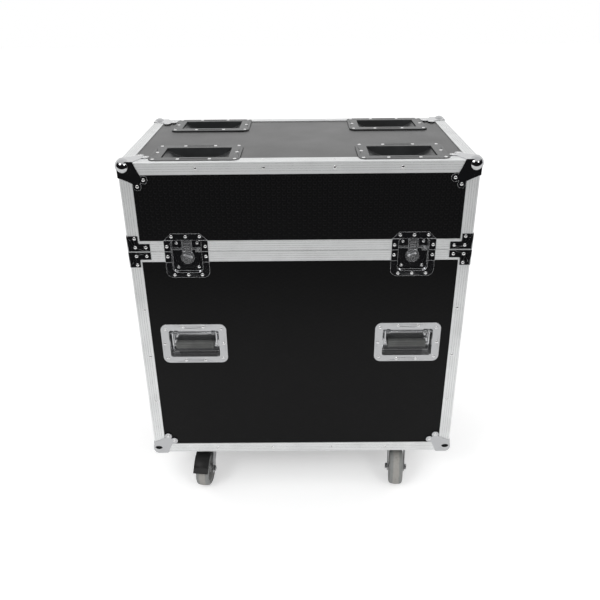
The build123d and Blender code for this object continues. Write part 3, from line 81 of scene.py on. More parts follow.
# Two columns of pressed dots take this many pitches
DIMPLE_COLUMN_STRETCH = 1.9
# Where the camera stands: aside from the middle, in front of the case's front face, and above its underside
CAMERA_ASIDE = 0.00584
CAMERA_BACK = 1.45487
CAMERA_UP = 1.21276
# Points of a CAD node nearer than this are one point
JOIN_GAP = 0.000002
# A face looks aside or up where that part of its normal is over this
FACING = 0.7
# Colour of the dust that settles on casters
DUST = (0.36, 0.33, 0.29)
STEEL_DUST = (0.30, 0.28, 0.25)
TYRE_DIRT = (0.10, 0.095, 0.09)
PLY_THICKNESS = 0.0027
# Foam: voxel, the width of its drawn-in rim, its least thickness, and the shares of the crown and the waves
FOAM_VOXEL = 0.005
FOAM_RIM = 0.02
FOAM_LEAST = 0.88
FOAM_CROWN = 0.10
FOAM_WAVES = 0.02
# How fast the foam's waves turn along x and y, in radians per metre
FOAM_WAVE_RATES = (31.0, 37.0)
# Where the two lamps hang, and how wide they are
LEFT_LAMP = ((-1.9, -2.6, 2.9), 1.1)
RIGHT_LAMP = ((1.7, -2.9, 2.5), 0.8)
RIGHT_LAMP_SHARE = 0.6


def colour_property(name, description, default):
    """A colour that a user can change."""
    return FloatVectorProperty(
        name=name, description=description, default=default, subtype="COLOR", size=3, min=0.0, max=1.0
    )


def length_property(name, description, default):
    """A length in metres that a user can change."""
    return FloatProperty(name=name, description=description, default=default, unit="LENGTH", min=0.0)


def share_property(name, description, default):
    """A value from none to full that a user can change."""
    return FloatProperty(name=name, description=description, default=default, subtype="FACTOR", min=0.0, max=1.0)


class CaseFinishSettings(bpy.types.PropertyGroup):
    """Colours and sizes of the case's finishes."""

    laminate: colour_property("Laminate", "Colour of the panels' laminate", (0.0034, 0.0034, 0.0036))
    laminate_roughness: share_property("Laminate roughness", "How dull the laminate is", 0.34)
    dimple_pitch: length_property("Dimple pitch", "Distance from one pressed dot to the next in a column", 0.0125)
    dimple_depth: length_property("Dimple depth", "How far the pressed dots stand out", 0.00045)
    aluminium: colour_property("Aluminium", "Colour of the extrusions", (0.80, 0.81, 0.81))
    plating: colour_property("Plating", "Colour of the bright plated hardware", (0.50, 0.505, 0.515))
    rivet: colour_property("Rivets", "Colour of the rivet heads", (0.86, 0.86, 0.86))
    zinc: colour_property("Zinc", "Colour of the casters' zinc plated steel", (0.60, 0.61, 0.62))
    cup: colour_property("Caster cups", "Colour of the caster cups", (0.022, 0.023, 0.024))
    grip: colour_property("Grips", "Colour of the handles' rubber grips", (0.075, 0.077, 0.075))
    tyre: colour_property("Tyres", "Colour of the grey tyres", (0.235, 0.24, 0.235))
    tread: colour_property("Tread", "Colour of the worn band round each tyre", (0.33, 0.32, 0.30))
    wheel: colour_property("Wheel cores", "Colour of the wheel cores", (0.20, 0.205, 0.21))
    pedal: colour_property("Brake pedals", "Colour of the brake pedals", (0.007, 0.007, 0.007))
    foam: colour_property("Foam", "Colour of the padding", (0.030, 0.031, 0.034))
    veneer: colour_property("Veneer", "Colour of the dividers' birch plywood", (0.60, 0.43, 0.25))
    # The dark groove lines are painted shade, darkening the extrusions' grooves and edges in colour
    shaded_groove_reach: length_property("Groove lines", "How far the dark lines of the grooves reach", 0.0010)
    # The bright edges are a painted highlight on the plated hardware's edges, not wear
    edge_highlight_reach: length_property("Edge lines", "How far the bright worn edges reach", 0.0011)
    edge_width: length_property("Edge rounding", "Width of the rounded edges of bent plates", 0.0006)


class CaseStageSettings(bpy.types.PropertyGroup):
    """The floor, the light and the camera."""

    floor_size: length_property("Floor", "Width of the floor", 24.0)
    floor_colour: colour_property("Floor colour", "Colour of the floor", (0.92, 0.92, 0.92))
    floor_glow: share_property("Floor glow", "How much white the floor adds to what the camera sees", 0.36)
    room_colour: colour_property("Room", "Colour of the dim room that bright metal mirrors", (0.012, 0.012, 0.013))
    sweep_reach: length_property("Sweep", "How far the lit floor reaches in front of the case", 1.25)
    world_light: FloatProperty(name="Room light", description="Strength of the even light", default=0.80)
    key_power: FloatProperty(name="Key lamp", description="Power of the front lamps", default=26.0, unit="POWER")
    focal_length: FloatProperty(name="Lens", description="Focal length in millimetres", default=39.163)
    camera_down: FloatProperty(name="Camera tilt", description="How far the camera looks down", default=0.46728)
    camera_turn: FloatProperty(name="Camera turn", description="How far the camera looks aside", default=-0.00469)
    camera_roll: FloatProperty(name="Camera roll", description="How far the camera is rolled", default=0.01003)


# Shader building: every socket argument may be a number, a colour or another node's output


def add_node(tree, kind, inputs=None, **settings):
    """A node of a kind, with its settings and its inputs, each a value or an output to link."""
    node = tree.nodes.new(kind)
    for name, value in settings.items():
        setattr(node, name, value)
    for key, value in (inputs or {}).items():
        feed(tree, node.inputs[key], value)
    return node


def feed(tree, socket, value):
    """Links an output to a socket, or sets the socket's own value."""
    if isinstance(value, bpy.types.NodeSocket):
        tree.links.new(value, socket)
    elif hasattr(socket.default_value, "__len__") and len(socket.default_value) == 4 and len(value) == 3:
        socket.default_value = (*value, 1.0)
    else:
        socket.default_value = value


def calc(tree, operation, first, second=0.0, third=0.0, clamp=False):
    """The result of one arithmetic step."""
    inputs = {0: first, 1: second, 2: third}
    return add_node(tree, "ShaderNodeMath", inputs, operation=operation, use_clamp=clamp).outputs[0]


def vector_calc(tree, operation, first, second=(0.0, 0.0, 0.0)):
    """The vector result of one step of vector arithmetic."""
    node = add_node(tree, "ShaderNodeVectorMath", {0: first, 1: second}, operation=operation)
    return node.outputs["Value"] if operation in ("DOT_PRODUCT", "LENGTH") else node.outputs["Vector"]


def blend(tree, share, first, second):
    """Two numbers blended by a share."""
    node = add_node(tree, "ShaderNodeMix", {0: share, 2: first, 3: second}, data_type="FLOAT")
    return node.outputs[0]


def blend_colour(tree, share, first, second):
    """Two colours blended by a share."""
    node = add_node(tree, "ShaderNodeMix", {0: share, 6: first, 7: second}, data_type="RGBA")
    return node.outputs[2]


def ramp(tree, value, low, high):
    """A value stretched so that low becomes 0 and high becomes 1, eased at both ends."""
    inputs = {"Value": value, "From Min": low, "From Max": high}
    return add_node(tree, "ShaderNodeMapRange", inputs, interpolation_type="SMOOTHSTEP").outputs[0]


def noise(tree, vector, scale, detail=3.0, roughness=0.55):
    """Noise from 0 to 1 at a scale in waves per metre."""
    inputs = {"Vector": vector, "Scale": scale, "Detail": detail, "Roughness": roughness}
    return add_node(tree, "ShaderNodeTexNoise", inputs).outputs["Fac"]


def new_group(name, inputs, outputs):
    """An empty shader node group with named sockets, and its input and output nodes."""
    tree = bpy.data.node_groups.new(name, "ShaderNodeTree")
    for socket, (kind, default) in inputs.items():
        item = tree.interface.new_socket(socket, in_out="INPUT", socket_type=kind)
        if default is not None:
            item.default_value = default
    for socket, kind in outputs.items():
        tree.interface.new_socket(socket, in_out="OUTPUT", socket_type=kind)
    return tree, tree.nodes.new("NodeGroupInput"), tree.nodes.new("NodeGroupOutput")


def use_group(tree, name, inputs=None):
    """The outputs of a shared group placed in a material, with its inputs set or linked."""
    return add_node(tree, "ShaderNodeGroup", inputs, node_tree=bpy.data.node_groups[name]).outputs


def make_face_coordinates():
    """Flat coordinates on upright and level faces, from the object's place and the way a face looks."""
    tree, _, result = new_group("Face Coordinates", {}, {"Vector": "NodeSocketVector"})
    place = add_node(tree, "ShaderNodeTexCoord")
    point = add_node(tree, "ShaderNodeSeparateXYZ", {0: place.outputs["Object"]})
    normal = add_node(tree, "ShaderNodeSeparateXYZ", {0: place.outputs["Normal"]})
    looks_aside = calc(tree, "GREATER_THAN", calc(tree, "ABSOLUTE", normal.outputs[0]), FACING)
    looks_up = calc(tree, "GREATER_THAN", calc(tree, "ABSOLUTE", normal.outputs[2]), FACING)
    across = blend(tree, looks_aside, point.outputs[0], point.outputs[1])
    upwards = blend(tree, looks_up, point.outputs[2], point.outputs[1])
    flat = add_node(tree, "ShaderNodeCombineXYZ", {0: across, 1: upwards})
    tree.links.new(flat.outputs[0], result.inputs[0])


def make_pressed_dimples():
    """Staggered columns of round dots: height is 1 inside a dot and falls off over its rim.

    The distance to the nearest dot's middle is measured in pitches, on two lattices that are half a cell apart.
    """
    tree, source, result = new_group(
        "Pressed Dimples",
        {
            "Vector": ("NodeSocketVector", None),
            "Pitch": ("NodeSocketFloat", 0.0125),
            "Dot Share": ("NodeSocketFloat", 0.42),
        },
        {"Height": "NodeSocketFloat", "Rim": "NodeSocketFloat"},
    )
    point = add_node(tree, "ShaderNodeSeparateXYZ", {0: source.outputs["Vector"]})
    nearest = 1.0
    for shift in (0.0, 0.5):
        squares = 0.0
        for axis, stretch in enumerate((DIMPLE_COLUMN_STRETCH, 1.0)):
            cell = calc(tree, "DIVIDE", point.outputs[axis], calc(tree, "MULTIPLY", source.outputs["Pitch"], stretch))
            cell = calc(tree, "ADD", cell, shift)
            offset = calc(tree, "MULTIPLY", calc(tree, "SUBTRACT", calc(tree, "FRACT", cell), 0.5), stretch)
            squares = calc(tree, "MULTIPLY_ADD", offset, offset, squares)
        nearest = calc(tree, "MINIMUM", nearest, calc(tree, "SQRT", squares))
    flat_top_share = 0.62
    inner = calc(tree, "MULTIPLY", source.outputs["Dot Share"], flat_top_share)
    height = calc(tree, "SUBTRACT", 1.0, ramp(tree, nearest, inner, source.outputs["Dot Share"]))
    # Rim: a mask along each dot's rim, which the laminate uses for a painted highlight
    rim = calc(tree, "MULTIPLY", calc(tree, "MULTIPLY", height, 4.0), calc(tree, "SUBTRACT", 1.0, height))
    tree.links.new(height, result.inputs["Height"])
    tree.links.new(rim, result.inputs["Rim"])


def make_scuffs():
    """Sparse worn streaks and rubbed patches as a mask from 0 to 1."""
    tree, source, result = new_group(
        "Scuffs",
        {
            "Vector": ("NodeSocketVector", None),
            "Scale": ("NodeSocketFloat", 9.0),
            "Amount": ("NodeSocketFloat", 0.5),
        },
        {"Mask": "NodeSocketFloat"},
    )
    streak_stretch = (1.0, 9.0, 3.0)
    streaks_per_patch = 4.0
    stretched = vector_calc(tree, "MULTIPLY", source.outputs["Vector"], streak_stretch)
    streak_scale = calc(tree, "MULTIPLY", source.outputs["Scale"], streaks_per_patch)
    streaks = noise(tree, stretched, streak_scale, detail=6.0, roughness=0.7)
    patches = noise(tree, source.outputs["Vector"], source.outputs["Scale"], detail=3.0)
    mask = calc(tree, "MULTIPLY", ramp(tree, streaks, 0.60, 0.74), ramp(tree, patches, 0.52, 0.72))
    mask = calc(tree, "MULTIPLY", mask, source.outputs["Amount"], clamp=True)
    tree.links.new(mask, result.inputs[0])


def make_soft_ripple():
    """Long shallow ripples of pressed sheet metal, as a height from 0 to 1."""
    tree, source, result = new_group(
        "Sheet Ripple", {"Scale": ("NodeSocketFloat", 18.0)}, {"Height": "NodeSocketFloat"}
    )
    place = add_node(tree, "ShaderNodeTexCoord").outputs["Object"]
    ripple = noise(tree, place, source.outputs["Scale"], detail=2.0, roughness=0.4)
    tree.links.new(ripple, result.inputs[0])


def make_edge_lines():
    """Thin lines along a piece's edges and grooves, as a mask from 0 to 1; it places painted highlights on plated
    edges and painted shade in aluminium grooves.

    The mask is one less the product of the true normal and the normal averaged over a small radius.
    """
    tree, source, result = new_group(
        "Edge Lines", {"Radius": ("NodeSocketFloat", 0.001)}, {"Mask": "NodeSocketFloat"}
    )
    averaged = add_node(tree, "ShaderNodeBevel", {"Radius": source.outputs["Radius"]}, samples=4).outputs["Normal"]
    true_normal = add_node(tree, "ShaderNodeNewGeometry").outputs["True Normal"]
    bend = calc(tree, "SUBTRACT", 1.0, vector_calc(tree, "DOT_PRODUCT", averaged, true_normal))
    tree.links.new(ramp(tree, bend, 0.02, 0.14), result.inputs["Mask"])


def make_settled_dust():
    """Dust that gathers near the floor, as a mask from 0 to 1."""
    tree, source, result = new_group(
        "Settled Dust",
        {"Top": ("NodeSocketFloat", 0.2), "Amount": ("NodeSocketFloat", 0.3)},
        {"Mask": "NodeSocketFloat"},
    )
    place = add_node(tree, "ShaderNodeTexCoord").outputs["Object"]
    height = add_node(tree, "ShaderNodeSeparateXYZ", {0: place}).outputs[2]
    near = calc(tree, "SUBTRACT", 1.0, ramp(tree, height, 0.0, source.outputs["Top"]))
    mask = calc(tree, "MULTIPLY", near, noise(tree, place, scale=60.0, detail=5.0, roughness=0.7))
    mask = calc(tree, "MULTIPLY", mask, source.outputs["Amount"], clamp=True)
    tree.links.new(mask, result.inputs[0])


def new_material(name, colour, roughness, metallic=0.0):
    """A material with its surface shader, and the tree to build the rest in."""
    material = bpy.data.materials.new(name)
    material.use_nodes = True
    tree = material.node_tree
    surface = tree.nodes["Principled BSDF"]
    feed(tree, surface.inputs["Base Color"], colour)
    feed(tree, surface.inputs["Roughness"], roughness)
    feed(tree, surface.inputs["Metallic"], metallic)
    return material, tree, surface


def add_bump(tree, surface, height, distance):
    """Tilts the surface's normal by a height; distance is in metres."""
    bump = add_node(tree, "ShaderNodeBump", {"Height": height, "Distance": distance, "Strength": 1.0})
    tree.links.new(bump.outputs[0], surface.inputs["Normal"])


def object_place(tree):
    """The point's own coordinates on the object."""
    return add_node(tree, "ShaderNodeTexCoord").outputs["Object"]


def laminate_material(settings, name, dimples, gloss):
    """Black laminate with staggered pressed dots, rubbed in places, and a painted highlight on the dots' rims."""
    material, tree, surface = new_material(name, settings.laminate, settings.laminate_roughness)
    surface.inputs["Specular IOR Level"].default_value = gloss
    flat = use_group(tree, "Face Coordinates")["Vector"]
    dots = use_group(tree, "Pressed Dimples", {"Vector": flat, "Pitch": settings.dimple_pitch})
    grain = noise(tree, object_place(tree), scale=2600.0, detail=4.0)
    grain_share, rim_highlight_share, rim_highlight_and_wear_brightness = 0.10, 0.55, 5.0
    roughness_spread, rubbed_roughness = 0.16, 0.25
    rubbed = use_group(tree, "Scuffs", {"Vector": object_place(tree), "Scale": 5.0, "Amount": 0.16})["Mask"]
    # The paler colour serves both the rubbed wear and a painted highlight on the rims of the pressed dots
    worn = tuple(c * rim_highlight_and_wear_brightness for c in settings.laminate)
    paler = calc(tree, "MULTIPLY_ADD", dots["Rim"], rim_highlight_share * dimples, rubbed, clamp=True)
    colour = blend_colour(tree, paler, settings.laminate, worn)
    feed(tree, surface.inputs["Base Color"], colour)
    clouds = noise(tree, object_place(tree), scale=7.0)
    least_dull = settings.laminate_roughness - roughness_spread / 2
    dull = calc(tree, "MULTIPLY_ADD", clouds, roughness_spread, least_dull)
    dull = calc(tree, "ADD", dull, calc(tree, "MULTIPLY", rubbed, rubbed_roughness))
    feed(tree, surface.inputs["Roughness"], dull)
    height = calc(tree, "MULTIPLY_ADD", dots["Height"], dimples, calc(tree, "MULTIPLY", grain, grain_share))
    add_bump(tree, surface, height, settings.dimple_depth)
    return material


def aluminium_material(settings):
    """Mill-finished extrusion: soft sheen, faint blotches and handling marks, with painted shade darkening its
    grooves.
    """
    material, tree, surface = new_material("extruded_aluminium", settings.aluminium, roughness=0.38, metallic=0.55)
    place = object_place(tree)
    blotches = noise(tree, place, scale=14.0, detail=3.0)
    blotch_shade, mark_shade, painted_groove_shade, painted_groove_strength = 0.90, 0.7, 0.4, 0.85
    least_dull, dull_spread = 0.36, 0.14
    marks = use_group(tree, "Scuffs", {"Vector": place, "Scale": 12.0, "Amount": 0.25})["Mask"]
    darker = tuple(c * blotch_shade for c in settings.aluminium)
    colour = blend_colour(tree, ramp(tree, blotches, 0.35, 0.75), settings.aluminium, darker)
    colour = blend_colour(tree, marks, colour, tuple(c * mark_shade for c in darker))
    # Painted shade: grooves and edges of the extrusions are darkened in colour, as shade would fall in them
    grooves = use_group(tree, "Edge Lines", {"Radius": settings.shaded_groove_reach})["Mask"]
    grooves = calc(tree, "MULTIPLY", grooves, painted_groove_strength)
    colour = blend_colour(tree, grooves, colour, tuple(c * painted_groove_shade for c in darker))
    feed(tree, surface.inputs["Base Color"], colour)
    feed(tree, surface.inputs["Roughness"], calc(tree, "MULTIPLY_ADD", blotches, dull_spread, least_dull))
    add_bump(tree, surface, noise(tree, place, scale=1500.0, detail=3.0), distance=0.00003)
    return material


def plated_material(settings, name, roughness, ripple, metallic=1.0, shade=1.0, line=1.0):
    """Bright plating on pressed steel: mirrors the room through shallow ripples, with a painted highlight along its
    edges.
    """
    plating = tuple(c * shade for c in settings.plating)
    material, tree, surface = new_material(name, plating, roughness, metallic)
    edge_highlight_brightness, edge_metallic, edge_roughness, smudge_roughness = 1.7, 0.35, 0.35, 0.06
    smudges = noise(tree, object_place(tree), scale=34.0, detail=4.0, roughness=0.6)
    dull = calc(tree, "MULTIPLY_ADD", ramp(tree, smudges, 0.45, 0.8), smudge_roughness, roughness)
    # Painted highlight: along the edges the colour is paler and less metallic, standing for light caught on the
    # rounded edges
    edges = use_group(tree, "Edge Lines", {"Radius": line * settings.edge_highlight_reach})["Mask"]
    bright = tuple(min(1.0, c * edge_highlight_brightness) for c in settings.plating)
    feed(tree, surface.inputs["Base Color"], blend_colour(tree, edges, plating, bright))
    feed(tree, surface.inputs["Metallic"], blend(tree, edges, metallic, edge_metallic))
    feed(tree, surface.inputs["Roughness"], blend(tree, edges, dull, edge_roughness))
    add_bump(tree, surface, use_group(tree, "Sheet Ripple", {"Scale": 18.0})["Height"], ripple)
    return material


def rivet_material(settings):
    """Bright rivet heads, a little dulled."""
    material, tree, surface = new_material("rivet_heads", settings.rivet, roughness=0.24, metallic=1.0)
    least_dull, dull_spread = 0.16, 0.2
    dull = calc(tree, "MULTIPLY_ADD", noise(tree, object_place(tree), scale=300.0), dull_spread, least_dull)
    feed(tree, surface.inputs["Roughness"], dull)
    add_bump(tree, surface, noise(tree, object_place(tree), scale=900.0), distance=0.00004)
    return material


def zinc_material(settings):
    """Zinc plated caster steel, cloudy, with dust low down."""
    material, tree, surface = new_material("zinc_steel", settings.zinc, roughness=0.32, metallic=1.0)
    place = object_place(tree)
    cloud_shade, least_dull, dull_spread = 0.72, 0.16, 0.3
    clouds = noise(tree, place, scale=55.0, detail=5.0, roughness=0.65)
    shade = tuple(c * cloud_shade for c in settings.zinc)
    colour = blend_colour(tree, ramp(tree, clouds, 0.4, 0.7), settings.zinc, shade)
    dusty = use_group(tree, "Settled Dust", {"Top": 0.12, "Amount": 0.35})["Mask"]
    feed(tree, surface.inputs["Base Color"], blend_colour(tree, dusty, colour, STEEL_DUST))
    feed(tree, surface.inputs["Roughness"], calc(tree, "MULTIPLY_ADD", clouds, dull_spread, least_dull))
    add_bump(tree, surface, clouds, distance=0.00012)
    return material


def moulded_material(name, colour, roughness, grain_scale, grain_depth, dust=0.0, gloss=0.5):
    """Moulded rubber or plastic with a fine cast grain."""
    material, tree, surface = new_material(name, colour, roughness)
    surface.inputs["Specular IOR Level"].default_value = gloss
    place = object_place(tree)
    fading, roughness_spread = 1.5, 0.18
    grain = noise(tree, place, grain_scale, detail=4.0, roughness=0.6)
    faded = tuple(min(1.0, c * fading) for c in colour)
    mixed = blend_colour(tree, ramp(tree, noise(tree, place, scale=30.0), 0.35, 0.75), colour, faded)
    if dust:
        dusty = use_group(tree, "Settled Dust", {"Top": 0.11, "Amount": dust})["Mask"]
        mixed = blend_colour(tree, dusty, mixed, DUST)
    feed(tree, surface.inputs["Base Color"], mixed)
    least_dull = roughness - roughness_spread / 2
    feed(tree, surface.inputs["Roughness"], calc(tree, "MULTIPLY_ADD", grain, roughness_spread, least_dull))
    add_bump(tree, surface, grain, grain_depth)
    return material


def tyre_material(settings, caster):
    """Grey tyre with a paler band where it rolls, found by the distance along its own axle."""
    joint = JOINTS[f"wheel_spin_{caster}"]
    name = f"tyre_{caster}"
    material, tree, surface = new_material(name, settings.tyre, roughness=0.55)
    place = object_place(tree)
    from_hub = vector_calc(tree, "SUBTRACT", place, tuple(joint["pos_m"]))
    along = calc(tree, "ABSOLUTE", vector_calc(tree, "DOT_PRODUCT", from_hub, tuple(joint["axis"])))
    band_wander, band_inner, band_outer, dirt_strength = 0.005, 0.009, 0.013, 0.4
    uneven = calc(tree, "MULTIPLY_ADD", noise(tree, place, scale=90.0, detail=4.0), band_wander, along)
    band = calc(tree, "SUBTRACT", 1.0, ramp(tree, uneven, band_inner, band_outer))
    colour = blend_colour(tree, band, settings.tyre, settings.tread)
    dirt = ramp(tree, noise(tree, place, scale=160.0, detail=5.0, roughness=0.7), 0.50, 0.75)
    colour = blend_colour(tree, calc(tree, "MULTIPLY", dirt, dirt_strength), colour, TYRE_DIRT)
    feed(tree, surface.inputs["Base Color"], colour)
    add_bump(tree, surface, noise(tree, place, scale=1200.0, detail=4.0), distance=0.00008)
    return material


def foam_material(settings):
    """Open-cell foam: dull, with a fine pitted surface."""
    material, tree, surface = new_material("padding_foam", settings.foam, roughness=0.95)
    place = object_place(tree)
    cells = add_node(tree, "ShaderNodeTexVoronoi", {"Vector": place, "Scale": 620.0}).outputs["Distance"]
    fading = 1.7
    shade = noise(tree, place, scale=18.0, detail=4.0)
    paler = tuple(c * fading for c in settings.foam)
    feed(tree, surface.inputs["Base Color"], blend_colour(tree, ramp(tree, shade, 0.4, 0.7), settings.foam, paler))
    feed(tree, surface.inputs["Sheen Weight"], 0.25)
    add_bump(tree, surface, cells, distance=0.0007)
    return material


def plywood_material(settings):
    """Birch plywood: long grain on the faces and dark plies along the edges."""
    material, tree, surface = new_material("birch_plywood", settings.veneer, roughness=0.55)
    place = add_node(tree, "ShaderNodeTexCoord")
    point = add_node(tree, "ShaderNodeSeparateXYZ", {0: place.outputs["Object"]})
    normal = add_node(tree, "ShaderNodeSeparateXYZ", {0: place.outputs["Normal"]})
    grain_stretch, grain_shade = (1.0, 1.0, 0.06), 0.62
    stretched = vector_calc(tree, "MULTIPLY", place.outputs["Object"], grain_stretch)
    grain = noise(tree, stretched, scale=130.0, detail=6.0, roughness=0.65)
    dark = tuple(c * grain_shade for c in settings.veneer)
    face = blend_colour(tree, ramp(tree, grain, 0.42, 0.68), settings.veneer, dark)
    plies = calc(tree, "FRACT", calc(tree, "DIVIDE", point.outputs[1], PLY_THICKNESS))
    layers = blend_colour(tree, calc(tree, "GREATER_THAN", plies, 0.5), dark, settings.veneer)
    on_edge = calc(tree, "LESS_THAN", calc(tree, "ABSOLUTE", normal.outputs[1]), FACING)
    feed(tree, surface.inputs["Base Color"], blend_colour(tree, on_edge, face, layers))
    add_bump(tree, surface, grain, distance=0.0002)
    return material


def dress(names, material):
    """Gives CAD nodes one material."""
    for name in names:
        slots = NODES[name].data.materials
        slots.clear()
        slots.append(material)


def round_edges(names, width, segments=2):
    """Joins a node's triangles and rounds its sharp edges, without a change to its mesh."""
    for name in names:
        node = NODES[name]
        weld = node.modifiers.new("Join", "WELD")
        weld.merge_threshold = JOIN_GAP
        bevel = node.modifiers.new("Round", "BEVEL")
        bevel.width = width
        bevel.segments = segments
        bevel.limit_method = "ANGLE"
        bevel.angle_limit = SHARP_EDGE
        bevel.use_clamp_overlap = True
        bevel.harden_normals = True


def nodes_named(*words):
    """The CAD nodes whose names hold any of the words."""
    return [name for name in NODES if any(word in name for word in words)]


class CASE_OT_shared_groups(bpy.types.Operator):
    """Builds the shader groups that the finishes share"""

    bl_idname = "flight_case.shared_groups"
    bl_label = "Shared Shader Groups"

    def execute(self, context):
        make_face_coordinates()
        make_pressed_dimples()
        make_scuffs()
        make_soft_ripple()
        make_edge_lines()
        make_settled_dust()
        return {"FINISHED"}


class CASE_OT_panels(bpy.types.Operator):
    """Covers the plywood panels with embossed laminate"""

    bl_idname = "flight_case.panels"
    bl_label = "Laminated Panels"

    def execute(self, context):
        settings = context.scene.case_finish
        lid_walls = nodes_named("lid_front_panel", "lid_back_panel", "lid_side")
        dress(lid_walls, laminate_material(settings, "lid_laminate", dimples=1.0, gloss=0.08))
        dress(["lid_top_panel"], laminate_material(settings, "top_laminate", dimples=0.15, gloss=0.75))
        base_walls = nodes_named("base_front_panel", "base_back_panel", "base_side", "base_floor")
        dress(base_walls, laminate_material(settings, "base_laminate", dimples=0.12, gloss=0.12))
        return {"FINISHED"}


class CASE_OT_extrusions(bpy.types.Operator):
    """Finishes the edge extrusions, the rims and the divider channels"""

    bl_idname = "flight_case.extrusions"
    bl_label = "Aluminium Extrusions"

    def execute(self, context):
        dress(nodes_named("edge_angles", "rim_profiles", "divider_channels"),
              aluminium_material(context.scene.case_finish))
        return {"FINISHED"}


class CASE_OT_hardware(bpy.types.Operator):
    """Plates the corners, braces, latches, handles and hinges, and brightens the rivets"""

    bl_idname = "flight_case.hardware"
    bl_label = "Plated Hardware"

    def execute(self, context):
        settings = context.scene.case_finish
        pressed = nodes_named("ball_corners", "rim_braces", "latch_base", "latch_lid", "handle_dishes")
        dress(pressed, plated_material(settings, "pressed_plating", roughness=0.06, ripple=0.0004))
        dish = plated_material(settings, "dish_plating", roughness=0.10, ripple=0.0014, metallic=0.86, shade=0.90)
        dress(["handle_dishes"], dish)
        moving = nodes_named("latch_rotor", "latch_wing", "latch_hook", "handle_loop", "handle_springs", "hinge_")
        cast = plated_material(settings, "cast_plating", roughness=0.18, ripple=0.0003, metallic=0.94, line=0.45)
        dress(moving, cast)
        dress(nodes_named("rivets"), rivet_material(settings))
        round_edges(pressed, settings.edge_width)
        round_edges(moving, settings.edge_width)
        return {"FINISHED"}


class CASE_OT_grips(bpy.types.Operator):
    """Finishes the ribbed rubber grips"""

    bl_idname = "flight_case.grips"
    bl_label = "Handle Grips"

    def execute(self, context):
        settings = context.scene.case_finish
        rubber = moulded_material(
            "grip_rubber", settings.grip, roughness=0.55, grain_scale=1800.0, grain_depth=0.0001
        )
        dress(nodes_named("handle_grip"), rubber)
        round_edges(nodes_named("handle_grip"), settings.edge_width)
        return {"FINISHED"}


class CASE_OT_cups(bpy.types.Operator):
    """Finishes the caster cups sunk in the lid"""

    bl_idname = "flight_case.cups"
    bl_label = "Caster Cups"

    def execute(self, context):
        settings = context.scene.case_finish
        plastic = moulded_material(
            "cup_plastic", settings.cup, roughness=0.34, grain_scale=900.0, grain_depth=0.00012, gloss=0.75
        )
        dress(["caster_cups"], plastic)
        round_edges(["caster_cups"], 2 * settings.edge_width)
        return {"FINISHED"}


class CASE_OT_casters(bpy.types.Operator):
    """Finishes the casters' steel, wheels, tyres and brake pedals"""

    bl_idname = "flight_case.casters"
    bl_label = "Casters"

    def execute(self, context):
        settings = context.scene.case_finish
        steel = nodes_named("caster_fork", "caster_plates", "caster_bolts", "caster_bearing")
        dress(steel, zinc_material(settings))
        round_edges(nodes_named("caster_fork", "caster_plates"), settings.edge_width)
        core = moulded_material(
            "wheel_core", settings.wheel, roughness=0.45, grain_scale=700.0, grain_depth=0.0002, dust=0.5
        )
        dress(nodes_named("caster_wheel"), core)
        for caster in CASTERS:
            dress([f"caster_tyre_{caster}"], tyre_material(settings, caster))
        round_edges(nodes_named("caster_wheel", "caster_tyre"), settings.edge_width)
        paint = moulded_material(
            "pedal_paint", settings.pedal, roughness=0.38, grain_scale=1100.0, grain_depth=0.0001,
            dust=0.03, gloss=0.2,
        )
        dress(nodes_named("brake_pedal"), paint)
        round_edges(nodes_named("brake_pedal"), 2 * settings.edge_width)
        return {"FINISHED"}


class CASE_OT_dividers(bpy.types.Operator):
    """Finishes the plywood dividers"""

    bl_idname = "flight_case.dividers"
    bl_label = "Plywood Dividers"

    def execute(self, context):
        dress(["plate_dividers"], plywood_material(context.scene.case_finish))
        round_edges(["plate_dividers"], 2 * context.scene.case_finish.edge_width)
        return {"FINISHED"}


def foam_block(name, node, body, voxel, rim_width):
    """A foam pad from a CAD solid: remeshed, its edges relaxed, and its broad faces crowned.

    Each point keeps its place across the pad. Its height from the pad's middle level is multiplied by a least
    share, plus a crown that rises from the rim as a half cosine, plus waves that are a sine of x times a sine of y.
    """
    source = NODES[node].data.copy()
    pad = bpy.data.objects.new(name, source)
    bpy.context.collection.objects.link(pad)
    weld = pad.modifiers.new("Join", "WELD")
    weld.merge_threshold = JOIN_GAP
    remesh = pad.modifiers.new("Remesh", "REMESH")
    remesh.mode = "VOXEL"
    remesh.voxel_size = voxel
    relax = pad.modifiers.new("Relax", "SMOOTH")
    relax.factor = 0.5
    relax.iterations = 3
    evaluated = pad.evaluated_get(bpy.context.evaluated_depsgraph_get())
    mesh = bpy.data.meshes.new_from_object(evaluated)
    pad.modifiers.clear()
    pad.data = mesh
    mesh.name = name
    points = np.empty(3 * len(mesh.vertices))
    mesh.vertices.foreach_get("co", points)
    points = points.reshape(-1, 3)
    low, high = points.min(0), points.max(0)
    middle = (low + high) / 2
    rim = np.minimum(points[:, :2] - low[:2], high[:2] - points[:, :2]).min(1)
    rise = 0.5 - 0.5 * np.cos(pi * np.clip(rim / rim_width, 0, 1))
    waves = np.sin(points[:, 0] * FOAM_WAVE_RATES[0]) * np.sin(points[:, 1] * FOAM_WAVE_RATES[1])
    thickness = FOAM_LEAST + FOAM_CROWN * rise + FOAM_WAVES * waves * rise
    points[:, 2] = middle[2] + (points[:, 2] - middle[2]) * thickness
    mesh.vertices.foreach_set("co", points.ravel())
    mesh.polygons.foreach_set("use_smooth", np.ones(len(mesh.polygons), dtype=bool))
    mesh.update()
    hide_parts(node)
    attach(pad, body)
    return pad


